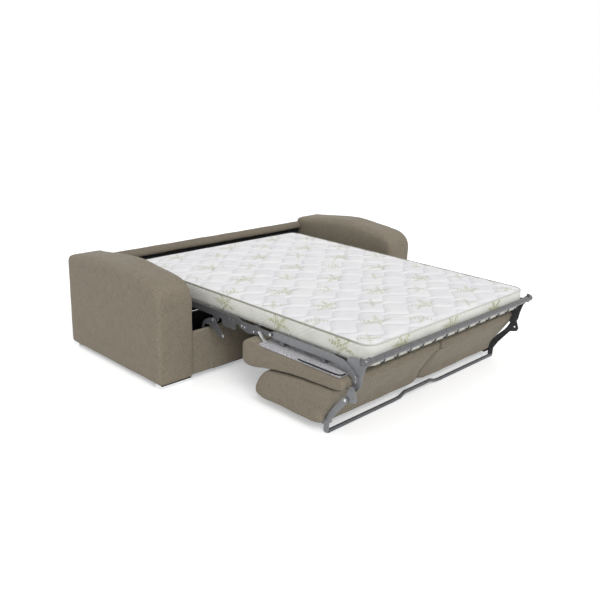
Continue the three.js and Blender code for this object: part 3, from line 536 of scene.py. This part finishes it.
# Places of the side view and how the cushion is drawn out there: y, z, shift in y, shift in z, radius
BACK_PULLS = (
    (-0.858, 0.068, -0.012, -0.020, 0.020), (-0.970, 0.252, -0.016, 0.008, 0.016),
    (-0.425, 0.062, 0.008, -0.006, 0.018))
SEAT_PULLS = ((-0.980, 0.270, -0.012, -0.006, 0.016),)

PAD_VOXEL, PAD_VOXEL_QUICK = 0.0080, 0.0095
PAD_SHRINK = 0.0015  # drawn in before the cloth is blown up
PAD_SWELL = 0.0035  # the furthest that the cloth may move a point
PAD_PRESSURE, PAD_STIFFNESS, PAD_BENDING, PAD_QUALITY, PAD_FRAMES = 4.0, 14, 0.6, 4, 12
PAD_RIPPLE, PAD_RIPPLE_HEIGHT = 0.11, 0.0030


def pulled(obj, y, z, dy, dz, radius):
    """Draws the cushion out round one place of its side view, but not beside the backrest's steel."""
    co = points(obj)
    near = np.exp(-((co[:, 1] - y - FRONT_Y) ** 2 + (co[:, 2] - z) ** 2) / (2 * radius * radius))
    clear = 1.0 - np.exp(-((np.abs(co[:, 0]) - STRAP_X) / STRAP_CLEAR) ** 4)
    co[:, 1] += near * clear * dy
    co[:, 2] += near * clear * dz
    set_points(obj, co)


def blown_up(obj):
    """Lets air pressure swell the cushion as cloth, and keeps each point near where it was."""
    start = points(obj)
    settings = obj.modifiers.new("cloth", "CLOTH").settings
    settings.quality = PAD_QUALITY
    settings.use_pressure = True
    settings.uniform_pressure_force = PAD_PRESSURE
    settings.effector_weights.gravity = 0.0
    settings.tension_stiffness = PAD_STIFFNESS
    settings.compression_stiffness = PAD_STIFFNESS
    settings.bending_stiffness = PAD_BENDING
    for f in range(1, PAD_FRAMES + 1):
        scene.frame_set(f)
    ready = obj.evaluated_get(bpy.context.evaluated_depsgraph_get())
    out = np.empty(len(ready.data.vertices) * 3, np.float64)
    ready.data.vertices.foreach_get("co", out)
    moved = out.reshape(-1, 3) - start
    obj.modifiers.clear()
    scene.frame_set(1)
    length = np.linalg.norm(moved, axis=1, keepdims=True)
    moved *= np.minimum(1.0, PAD_SWELL / np.maximum(length, 1e-9))
    set_points(obj, start + moved)


def cushion(node, name, body, seed, pulls):
    """A cushion from its CAD form: remeshed, blown up as cloth, rippled, smoothed and drawn out."""
    obj = copy_of(node, name, cushion_cloth)
    remeshed(obj, PAD_VOXEL, 3)
    set_points(obj, points(obj) - normals(obj) * PAD_SHRINK)
    blown_up(obj)
    ripple(obj, PAD_RIPPLE, PAD_RIPPLE_HEIGHT, seed)
    smoothed(obj, 3)
    applied(obj)
    for pull in pulls:
        pulled(obj, *pull)
    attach(obj, body)
    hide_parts(node)


for word, seed in (("left", 2.0), ("right", 7.0)):
    cushion(f"seat_cushion_{word}", f"seat_pad_{word}", "foot", seed, SEAT_PULLS)
    cushion(f"back_cushion_{word}", f"back_pad_{word}", "back", seed + 3.0, BACK_PULLS)

covered(
    "back_board", "back_board_cover", "back", upholstery, 0.006, 2,
    ((0.12, 0.0015, 4.4),))
covered(
    "seat_platform", "felt_board", "foot", felt_grey, 0.0055, 2,
    ((0.05, 0.0012, 6.0),))


# Black welt along the foot half of the felt's near edges: y and half width at each bend
WELT_PATH = (
    (-0.708, 0.7625), (-0.820, 0.7625), (-0.925, 0.7625),
    (-0.9585, 0.7595), (-0.970, 0.748), (-0.9735, 0.728))
WELT_RADIUS, WELT_SIDES, WELT_Z, WELT_OUT = 0.0038, 8, 0.3270, 0.0035


def welt(name, side):
    verts, faces, rings = [], [], []
    spots = [Vector((side * (x + WELT_OUT), y + FRONT_Y, WELT_Z)) for y, x in WELT_PATH]
    for index, spot in enumerate(spots):
        before, after = spots[max(0, index - 1)], spots[min(len(spots) - 1, index + 1)]
        out = (after - before).normalized().cross(Vector((0, 0, 1)))
        rings.append(range(len(verts), len(verts) + WELT_SIDES))
        for q in range(WELT_SIDES):
            turn = 2 * math.pi * q / WELT_SIDES
            up = Vector((0, 0, WELT_RADIUS * math.sin(turn)))
            verts.append(tuple(spot + out * (WELT_RADIUS * math.cos(turn)) + up))
    for before, after in zip(rings, rings[1:]):
        ring_band(faces, before, after)
    faces.append(tuple(reversed(rings[0])))
    faces.append(tuple(rings[-1]))
    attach(new_object(name, mesh_from(name, verts, faces), cover_black), "foot")


welt("felt_welt_left", -1)
welt("felt_welt_right", 1)


# Mattress: a quilted top with tape along its edge, and a stitched border
MAT_HALF = 0.700
MAT_FOOT, MAT_HEAD = -1.078 + FRONT_Y, 0.790 + FRONT_Y
MAT_LOW, MAT_HIGH = 0.3815, 0.481
MAT_CORNER = 0.072
MAT_INSET = 0.010  # room outside the top for the border's bulge
QUILT_PITCH, QUILT_WAVE, QUILT_SWING = 0.100, 0.200, 0.034
QUILT_PHASE = 0.37  # share of a wave from one stitch line to the next
QUILT_DRIFT, QUILT_DRIFT_WAVE = 0.008, 0.43
QUILT_HALF = 0.034  # from a stitch line to where the padding is at its highest


def quilt_line(x, k):
    """Y of a stitch line, before its row offset."""
    wave = QUILT_SWING * math.sin(2 * math.pi * (x / QUILT_WAVE + QUILT_PHASE * k))
    return wave + QUILT_DRIFT * math.sin(2 * math.pi * x / QUILT_DRIFT_WAVE + k)


def quilt_height(x, y):
    """0 on a stitch line, 1 between two of them."""
    k0 = math.floor((y - MAT_FOOT) / QUILT_PITCH)
    near = 1.0
    for k in range(k0 - 1, k0 + 3):
        line = MAT_FOOT + k * QUILT_PITCH + quilt_line(x, k)
        turn = 2 * math.pi * (x / QUILT_WAVE + QUILT_PHASE * k)
        slope = QUILT_SWING * 2 * math.pi / QUILT_WAVE * math.cos(turn)
        near = min(near, abs(y - line) / math.sqrt(1 + slope * slope))
    return math.sqrt(min(1.0, near / QUILT_HALF))


def quilt_gap(g, x, y):
    """The same lines as shader nodes: distance to the nearest one."""
    turn = g.math("MULTIPLY", x, 2 * math.pi / QUILT_WAVE)
    wide = g.math("MULTIPLY", x, 2 * math.pi / QUILT_DRIFT_WAVE)
    up = g.math("SUBTRACT", y, MAT_FOOT)
    k0 = g.math("FLOOR", g.math("DIVIDE", up, QUILT_PITCH))
    near = None
    for step in (-1.0, 0.0, 1.0, 2.0):
        k = g.math("ADD", k0, step)
        wave = g.math("SINE", g.math("ADD", turn, g.math("MULTIPLY", k, 2 * math.pi * QUILT_PHASE)))
        line = g.math("ADD", g.math("MULTIPLY", k, QUILT_PITCH), g.math("MULTIPLY", wave, QUILT_SWING))
        line = g.math("ADD", line, g.math("MULTIPLY", g.math("SINE", g.math("ADD", wide, k)), QUILT_DRIFT))
        one = g.math("ABSOLUTE", g.math("SUBTRACT", up, line))
        near = one if near is None else g.math("MINIMUM", near, one)
    return near


def in_corner(x, y, half_x, y0, y1, r):
    """Moves a point of the full rectangle into the one with round corners."""
    cx, cy = half_x - r, (y1 - y0) / 2 - r
    my = (y0 + y1) / 2
    sx, sy = math.copysign(1, x), math.copysign(1, y - my)
    u, v = (abs(x) - cx) / r, (abs(y - my) - cy) / r
    if u <= 0 or v <= 0:
        return x, y
    return sx * (cx + r * u * math.sqrt(1 - v * v / 2)), my + sy * (cy + r * v * math.sqrt(1 - u * u / 2))


def band(y_from, y_to, step):
    """Even places from one value to the other, about a step apart."""
    count = max(1, round((y_to - y_from) / step))
    return [y_from + (y_to - y_from) * k / count for k in range(count + 1)]


def ticking(name, white, shade):
    """Plain knitted mattress cover: its graph, its colour and its knit's height."""
    g = Graph(name)
    fleck = g.noise(420.0, 3.0, 0.6)
    knit = g.noise(1.0, 2.0, 0.6, g.scaled((700.0, 180.0, 700.0)))
    cloud = g.noise(9.0, 3.0, 0.5)
    base = g.mix(g.span(cloud, 0.35, 0.7, 0.0, 0.6), white, shade)
    base = g.mix(g.span(knit, 0.55, 0.75, 0.0, 0.25), base, linear(214, 214, 216))
    g.set(Roughness=0.88, Sheen_Weight=0.15, Sheen_Roughness=0.5, Specular_IOR_Level=TICKING_SPECULAR)
    return g, base, g.math("ADD", g.math("MULTIPLY", fleck, 0.4), g.math("MULTIPLY", knit, 0.6))


LOBE_SLANT = 2.4
LOBE_MIDDLE, LOBE_SWING = 0.62, 0.38  # shares of a leaf's width: the mean of its leaflets, and how they vary


def frond(g, u, v, cx, cy, angle, length, width, count):
    """How far a point is inside one feathered leaf, from 0 outside to 1 on its rib."""
    c, s = math.cos(angle), math.sin(angle)
    du, dv = g.math("SUBTRACT", u, cx), g.math("SUBTRACT", v, cy)
    along = g.math("ADD", g.math("MULTIPLY", du, c / length), g.math("MULTIPLY", dv, s / length))
    across = g.math("ADD", g.math("MULTIPLY", du, -s / width), g.math("MULTIPLY", dv, c / width))
    across = g.math("ABSOLUTE", across)
    limit = g.math("SUBTRACT", 1.0, g.math("MULTIPLY", along, along))
    slant = g.math("ADD", g.math("MULTIPLY", along, math.pi * count), g.math("MULTIPLY", across, -LOBE_SLANT))
    lobes = g.math("ADD", LOBE_MIDDLE, g.math("MULTIPLY", g.math("SINE", slant), LOBE_SWING))
    return g.math("SUBTRACT", g.math("MULTIPLY", limit, lobes), across)


def tile(g, value, start, pitch):
    """The value's distance from the middle of its own tile, and the tile's number."""
    t = g.math("DIVIDE", g.math("SUBTRACT", value, start), pitch)
    number = g.math("FLOOR", t)
    return g.math("MULTIPLY", g.math("SUBTRACT", g.math("SUBTRACT", t, number), 0.5), pitch), number


# Leaves of the two sprigs: middle, angle in degrees, half length and half width in metres, leaflets
BROAD_LEAVES = (
    (0.012, -0.006, 10, 0.092, 0.030, 9), (-0.030, 0.016, 138, 0.058, 0.023, 6),
    (-0.004, -0.030, -52, 0.046, 0.019, 5), (0.022, 0.034, 58, 0.048, 0.019, 5),
    (-0.062, -0.018, 200, 0.044, 0.017, 5))
SLIM_LEAVES = (
    (0.004, 0.004, 47, 0.078, 0.022, 8), (0.030, -0.018, -12, 0.044, 0.016, 5),
    (-0.024, 0.022, 108, 0.040, 0.015, 5))
SPRIG_PITCH_X, SPRIG_PITCH_Y = 0.405, 0.312
SPRIG_BACK_X, SPRIG_BACK_Y = 0.2025, 0.155  # from a sprig's middle to where its tile starts
SPRIGS = ((-0.430, 0.365, BROAD_LEAVES), (-0.222, 0.236, SLIM_LEAVES))  # one middle of each kind
PRINT_EDGE, PRINT_BREAK = 0.42, 1.9  # how soft the print's edge is, and how much the stipple breaks it


def printed(g, u, v, table, soft):
    """The leaves with a broken, stippled edge, as printed in thin ink."""
    top = None
    for cx, cy, angle, length, width, count in table:
        one = frond(g, u, v, cx, cy, math.radians(angle), length, width, count)
        top = one if top is None else g.math("MAXIMUM", top, one)
    stipple = g.noise(190.0, 2.0, 0.7)
    inside = g.math("ADD", top, g.math("MULTIPLY", g.math("SUBTRACT", stipple, 0.5), PRINT_BREAK))
    return g.span(inside, 0.0, soft)


def top_ticking():
    """The top: sprigs in rows that face left and right by turns, over the quilting's stitches."""
    g, base, height = ticking("mattress_top", linear(236, 235, 236), linear(222, 221, 226))
    x, y, _ = g.split()
    ink = None
    for middle_x, middle_y, table in SPRIGS:
        u, column = tile(g, x, middle_x - SPRIG_BACK_X, SPRIG_PITCH_X)
        v, row = tile(g, y, middle_y + FRONT_Y - SPRIG_BACK_Y, SPRIG_PITCH_Y)
        odd = g.math("MODULO", g.math("ADD", g.math("ABSOLUTE", row), column), 2.0)
        flip = g.math("SUBTRACT", g.math("MULTIPLY", odd, 2.0), 1.0)
        mark = printed(g, g.math("MULTIPLY", u, flip), v, table, PRINT_EDGE)
        ink = mark if ink is None else g.math("MAXIMUM", ink, mark)
    hue = g.noise(60.0, 3.0, 0.6)
    green = g.mix(g.span(hue, 0.35, 0.65), linear(160, 166, 124), linear(200, 202, 170))
    gap = quilt_gap(g, x, y)
    base = g.mix(g.math("MULTIPLY", ink, 0.60), base, green)
    # Painted shade: the quilting's stitch grooves are darkened in colour, besides their bump.
    base = g.mix(g.span(gap, 0.0, 0.0075, 0.17, 0.0), base, linear(186, 183, 192))
    swell = g.math("POWER", g.span(gap, 0.0, 0.030), 0.5)
    g.set(Base_Color=base, Normal=g.bump(swell, 0.55, 0.008, g.bump(height, 0.30, 0.0008)))
    return g.material


BORDER_PITCH, BORDER_START = 0.410, 0.610 + FRONT_Y - 0.205
BORDER_RISE = 0.006  # of the sprigs' middle over the border's
BORDER_NARROW, BORDER_LOW, BORDER_PRINT_EDGE = 1.15, 1.25, 0.30  # these sprigs are that much smaller
STITCH_PITCH, STITCH_START = 0.272, 0.580 + FRONT_Y - 0.136
STITCHES = (-0.034, -0.024, 0.004, 0.014, 0.040)  # places in a group
STITCH_BEND, STITCH_BEND_TURN = 0.050, 36.0  # metres, and radians per metre of height


def border_ticking():
    """The border: sprigs and groups of slanted double stitch lines that run round it, with painted shade
    beside the lines and a painted highlight on them.
    """
    g, base, height = ticking("mattress_border", linear(226, 226, 219), linear(206, 207, 198))
    x, y, z = g.split()
    v = g.math("SUBTRACT", z, (MAT_LOW + MAT_HIGH) / 2 + BORDER_RISE)
    run = g.math("SUBTRACT", y, x)
    u, _ = tile(g, run, BORDER_START, BORDER_PITCH)
    mark = printed(
        g, g.math("MULTIPLY", u, BORDER_NARROW), g.math("MULTIPLY", v, BORDER_LOW),
        BROAD_LEAVES, BORDER_PRINT_EDGE)
    green = g.mix(g.span(g.noise(60.0, 3.0, 0.6), 0.35, 0.65), linear(138, 144, 98), linear(196, 198, 160))
    base = g.mix(g.math("MULTIPLY", mark, 0.80), base, green)
    bend = g.math("MULTIPLY", g.math("SINE", g.math("MULTIPLY", v, STITCH_BEND_TURN)), STITCH_BEND)
    s, _ = tile(g, g.math("ADD", run, bend), STITCH_START, STITCH_PITCH)
    gap = None
    for place in STITCHES:
        one = g.math("ABSOLUTE", g.math("SUBTRACT", s, place))
        gap = one if gap is None else g.math("MINIMUM", gap, one)
    # Painted shade in a band beside each stitch line, and a near-white painted highlight on the line itself.
    shade = g.math("MULTIPLY", g.span(gap, 0.0018, 0.0034), g.span(gap, 0.0044, 0.0070, 1.0, 0.0))
    base = g.mix(g.math("MULTIPLY", shade, 0.14), base, linear(158, 158, 152))
    base = g.mix(g.span(gap, 0.0, 0.0030, 0.95, 0.0), base, linear(255, 255, 250))
    raised = g.bump(g.span(gap, 0.0, 0.0060), 0.6, -0.002, g.bump(height, 0.30, 0.0008))
    g.set(Base_Color=base, Normal=raised)
    return g.material


TAPE_RIB = 1900.0  # radians per metre
TAPE_LIGHT_REACH = 0.12  # from the foot end to where the tape's painted light ends and it has its own colour


def tape(name):
    """Ribbed tape along the top's edge: grey-green at the sides, and painted lighter over the foot end, as
    painted light where the light falls on it.
    """
    g = Graph(name)
    x, y, _ = g.split()
    rib = g.math("SINE", g.math("MULTIPLY", g.math("ADD", x, y), TAPE_RIB))
    fleck = g.noise(300.0, 3.0, 0.6)
    base = g.mix(g.span(fleck, 0.35, 0.65), linear(146, 147, 132), linear(180, 181, 168))
    base = g.mix(g.span(rib, -1.0, 1.0, 0.0, 0.35), base, linear(112, 113, 102))
    # Painted light: the tape is made lighter over the foot end than at the sides.
    base = g.mix(g.span(y, MAT_FOOT, MAT_FOOT + TAPE_LIGHT_REACH, 0.75, 0.0), base, linear(226, 226, 222))
    g.set(Base_Color=base, Roughness=0.8, Normal=g.bump(rib, 0.5, 0.0006))
    return g.material


top_cover = top_ticking()
border_cover = border_ticking()
edge_tape = tape("edge_tape")
under_cover = plain_cloth("mattress_under", linear(222, 222, 216))

MAT_STEP, MAT_STEP_QUICK = 0.0066, 0.0105
EDGE_Z = MAT_HIGH - 0.007  # where the top ends and the border starts
EDGE_WIDE, EDGE_RISE = 0.060, 0.006  # the top rises by this much over this width
CROWN = 0.004  # of the middle over the sides
PUFF, STITCH_DEEP = 0.0085, 0.003
PUFF_START = 1.6  # how much sooner the quilting is at its full height than the edge
TOP_LUMP, TOP_LUMP_SIZE = 0.0016, 0.13
SIDE_LUMP, SIDE_LUMP_SIZE = 0.0016, 0.07
BORDER_END, UNDER_RISE = 0.004, 0.0035  # over the low edge
UNDER_INSET, UNDER_STRIDE = 0.004, 4
LOW_DROP, LOW_START, LOW_WIDE = 0.012, 0.085, 0.060  # of the border at the foot end
TAPE_RADIUS, TAPE_SIDES, TAPE_OUT, TAPE_Z = 0.0044, 8, 0.0012, MAT_HIGH - 0.0065
TOP, BORDER, UNDER, TAPE = range(4)  # material slots

# The border's profile: share of the way down, bulge outwards in metres
BORDER_PROFILE = (
    (0.05, 0.0032), (0.12, 0.0052), (0.24, 0.0066), (0.40, 0.0072), (0.56, 0.0068),
    (0.72, 0.0056), (0.86, 0.0036), (0.95, 0.0014), (1.00, -0.0020))


def low_edge(y):
    """The border hangs a little lower at the foot end, where it bulges between the wires."""
    share = min(1.0, max(0.0, (MAT_FOOT + LOW_START - y) / LOW_WIDE))
    return MAT_LOW - LOW_DROP * share * share * (3 - 2 * share)


class Stretch:
    """The mesh of one stretch of the mattress between two values of y."""

    def __init__(self, y0, y1):
        step = MAT_STEP
        self.half = MAT_HALF - MAT_INSET
        self.low_y, self.high_y = MAT_FOOT + MAT_INSET, MAT_HEAD - MAT_INSET
        self.ys = band(max(y0, self.low_y), min(y1, self.high_y), step)
        self.xs = band(-self.half, self.half, step)
        self.verts, self.faces, self.kinds = [], [], []

    def point(self, *place):
        self.verts.append(place)
        return len(self.verts) - 1

    def face(self, kind, *corners):
        self.faces.append(corners)
        self.kinds.append(kind)

    def top_point(self, xx, yy):
        px, py = in_corner(xx, yy, self.half, self.low_y, self.high_y, MAT_CORNER - MAT_INSET)
        edge = min(self.half - abs(xx), yy - self.low_y, self.high_y - yy)
        rise = math.sin(min(1.0, max(0.0, edge) / EDGE_WIDE) * math.pi / 2)
        crown = CROWN * (1 - (px / self.half) ** 2)
        puff = (PUFF * quilt_height(px, py) - STITCH_DEEP) * min(1.0, rise * PUFF_START)
        lump = TOP_LUMP * noise.noise(Vector((px, py, 0.0)) / TOP_LUMP_SIZE)
        return self.point(px, py, EDGE_Z + rise * EDGE_RISE + crown + puff + lump)

    def top(self):
        """Adds the top, and returns its four edges, each walked with the outside on the right."""
        grid = [[self.top_point(xx, yy) for xx in self.xs] for yy in self.ys]
        for low, high in zip(grid, grid[1:]):
            for i in range(len(self.xs) - 1):
                self.face(TOP, low[i], low[i + 1], high[i + 1], high[i])
        left, right = [row[0] for row in reversed(grid)], [row[-1] for row in grid]
        return left, list(grid[0]), right, list(reversed(grid[-1]))

    def border(self, line):
        """Adds the border under one edge line, and returns the line's points and outward directions."""
        path = [Vector(self.verts[k]) for k in line]
        outs = []
        for k in range(len(path)):
            along = (path[min(k + 1, len(path) - 1)] - path[max(k - 1, 0)]).normalized()
            outs.append(Vector((along.y, -along.x, 0.0)).normalized())
        before = line
        for share, bulge in BORDER_PROFILE:
            row = []
            for p, out in zip(path, outs):
                z = EDGE_Z + (low_edge(p.y) + BORDER_END - EDGE_Z) * share
                sag = SIDE_LUMP * noise.noise(Vector((p.x, p.y, z)) / SIDE_LUMP_SIZE)
                q = p + out * (bulge + sag)
                row.append(self.point(q.x, q.y, z))
            for k in range(len(line) - 1):
                self.face(BORDER, before[k], row[k], row[k + 1], before[k + 1])
            before = row
        return path, outs

    def underside(self):
        """Adds the underside, on every fourth point of the top's grid."""
        columns, rows = (
            [values[k] for k in range(len(values)) if k % UNDER_STRIDE == 0 or k == len(values) - 1]
            for values in (self.xs, self.ys))
        grid = []
        for yy in rows:
            grid.append([])
            for xx in columns:
                px, py = in_corner(
                    xx, yy, self.half - UNDER_INSET, self.low_y + UNDER_INSET, self.high_y - UNDER_INSET,
                    MAT_CORNER - MAT_INSET)
                grid[-1].append(self.point(px, py, low_edge(py) + UNDER_RISE))
        for i in range(len(columns) - 1):
            for low, high in zip(grid, grid[1:]):
                self.face(UNDER, low[i], high[i], high[i + 1], low[i + 1])

    def tape(self, path, outs):
        """Adds the tape, a thin tube along one edge line."""
        before = None
        for p, out in zip(path, outs):
            centre = Vector((p.x, p.y, TAPE_Z)) + out * TAPE_OUT
            ring = []
            for q in range(TAPE_SIDES):
                turn = 2 * math.pi * q / TAPE_SIDES
                up = Vector((0, 0, TAPE_RADIUS * math.sin(turn)))
                ring.append(self.point(*(centre + out * (TAPE_RADIUS * math.cos(turn)) + up)))
            if before:
                ring_band(self.faces, before, ring)
                self.kinds.extend([TAPE] * TAPE_SIDES)
            before = ring


def mattress_part(name, y0, y1, foot_end, head_end):
    """One stretch of the mattress: its top, border, underside and tape."""
    part = Stretch(y0, y1)
    left, foot, right, head = part.top()
    if foot_end:
        lines = [left + foot[1:] + right[1:]]
    elif head_end:
        lines = [right + head[1:] + left[1:]]
    else:
        lines = [left, right]
    rims = [part.border(line) for line in lines]
    part.underside()
    for path, outs in rims:
        part.tape(path, outs)
    mesh = mesh_from(name, part.verts, part.faces)
    for material in (top_cover, border_cover, under_cover, edge_tape):
        mesh.materials.append(material)
    mesh.polygons.foreach_set("material_index", part.kinds)
    return new_object(name, mesh)


FOLD_Y, HEAD_SPLIT_Y = -0.351 + FRONT_Y, 0.119 + FRONT_Y
mattress_foot = mattress_part("mattress_foot_part", MAT_FOOT, FOLD_Y, True, False)
mattress_middle = mattress_part("mattress_middle_part", FOLD_Y, HEAD_SPLIT_Y, False, False)
mattress_head = mattress_part("mattress_head_part", HEAD_SPLIT_Y, MAT_HEAD, False, True)
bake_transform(mattress_foot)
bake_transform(mattress_middle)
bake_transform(mattress_head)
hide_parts("mattress_foot", "mattress_fold")
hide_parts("mattress_middle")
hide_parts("mattress_head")


# Stage, light and camera
def rays_that_show_white(tree):
    """1 for what the camera sees straight on, in a reflection or through glass."""
    path = tree.nodes.new("ShaderNodeLightPath")
    total = path.outputs["Is Camera Ray"]
    for name in ("Is Glossy Ray", "Is Transmission Ray"):
        node = tree.nodes.new("ShaderNodeMath")
        node.operation = "MAXIMUM"
        tree.links.new(total, node.inputs[0])
        tree.links.new(path.outputs[name], node.inputs[1])
        total = node.outputs[0]
    return total


FLOOR_LIFT = 0.36  # light that the floor adds where it is seen, so that it shows white
FLOOR_REACH, FLOOR_DROP = 30, 0.0005
floor_graph = Graph("floor_white")
grit = floor_graph.noise(3.0, 2.0, 0.5)
lift = floor_graph.math("MULTIPLY", rays_that_show_white(floor_graph.tree), FLOOR_LIFT)
floor_graph.set(
    Base_Color=floor_graph.mix(grit, (0.90, 0.90, 0.90), (0.92, 0.92, 0.92)),
    Roughness=1.0, Specular_IOR_Level=0.0, Emission_Color=(0.97, 0.985, 1.0, 1.0), Emission_Strength=lift)
corners = [(x * FLOOR_REACH, y * FLOOR_REACH, 0) for x, y in ((-1, -1), (1, -1), (1, 1), (-1, 1))]
floor = new_object("floor", mesh_from("floor", corners, [(0, 1, 2, 3)], False), floor_graph.material)
floor.location.z = -FLOOR_DROP

SKY_SEEN, SKY_LIGHT = 1.0, 0.55  # brightness as the camera sees it, and as it lights the sofa
WHITE = (1.0, 1.0, 1.0, 1.0)
world = bpy.data.worlds.new("studio")
scene.world = world
world.use_nodes = True
tree = world.node_tree
tree.nodes.clear()
sky = tree.nodes.new("ShaderNodeMixShader")
tree.links.new(rays_that_show_white(tree), sky.inputs[0])
for index, strength in ((1, SKY_LIGHT), (2, SKY_SEEN)):
    background = tree.nodes.new("ShaderNodeBackground")
    background.inputs["Color"].default_value = WHITE
    background.inputs["Strength"].default_value = strength
    tree.links.new(background.outputs[0], sky.inputs[index])
tree.links.new(sky.outputs[0], tree.nodes.new("ShaderNodeOutputWorld").inputs[0])


def sun(name, strength, angle, direction):
    """A sun of an angular size in degrees that shines along the direction."""
    light = bpy.data.lights.new(name, "SUN")
    light.energy = strength
    light.angle = math.radians(angle)
    obj = bpy.data.objects.new(name, light)
    scene.collection.objects.link(obj)
    obj.rotation_euler = Vector(direction).to_track_quat("-Z", "Y").to_euler()


sun("key", 1.45, 34.0, (0.39, 0.65, -0.68))
sun("top", 0.30, 70.0, (-0.1, 0.1, -1.0))

scene.view_settings.view_transform = "Standard"
FOCAL_PX, IMAGE_PX, SENSOR_MM = 732.513, 600, 36.0
CAMERA_PLACE = (-3.069, -2.923 + FRONT_Y, 1.635)
CAMERA_TURNS = (-46.114, -17.643, 1.972)  # azimuth, pitch and roll in degrees
camera_data = bpy.data.cameras.new("camera")
camera = bpy.data.objects.new("camera", camera_data)
scene.collection.objects.link(camera)
scene.camera = camera
camera_data.sensor_width = SENSOR_MM
camera_data.lens = FOCAL_PX / IMAGE_PX * SENSOR_MM
camera_data.clip_end = 200.0
azimuth, pitch, roll = (math.radians(v) for v in CAMERA_TURNS)
ahead = Vector((-math.sin(azimuth) * math.cos(pitch), math.cos(azimuth) * math.cos(pitch), math.sin(pitch)))
level = Vector((math.cos(azimuth), math.sin(azimuth), 0.0))
upright = level.cross(ahead)
across = math.cos(roll) * level + math.sin(roll) * upright
upward = -math.sin(roll) * level + math.cos(roll) * upright
turn = Matrix((across, upward, -ahead)).transposed()
camera.matrix_world = Matrix.Translation(CAMERA_PLACE) @ turn.to_4x4()

bpy.context.view_layer.update()
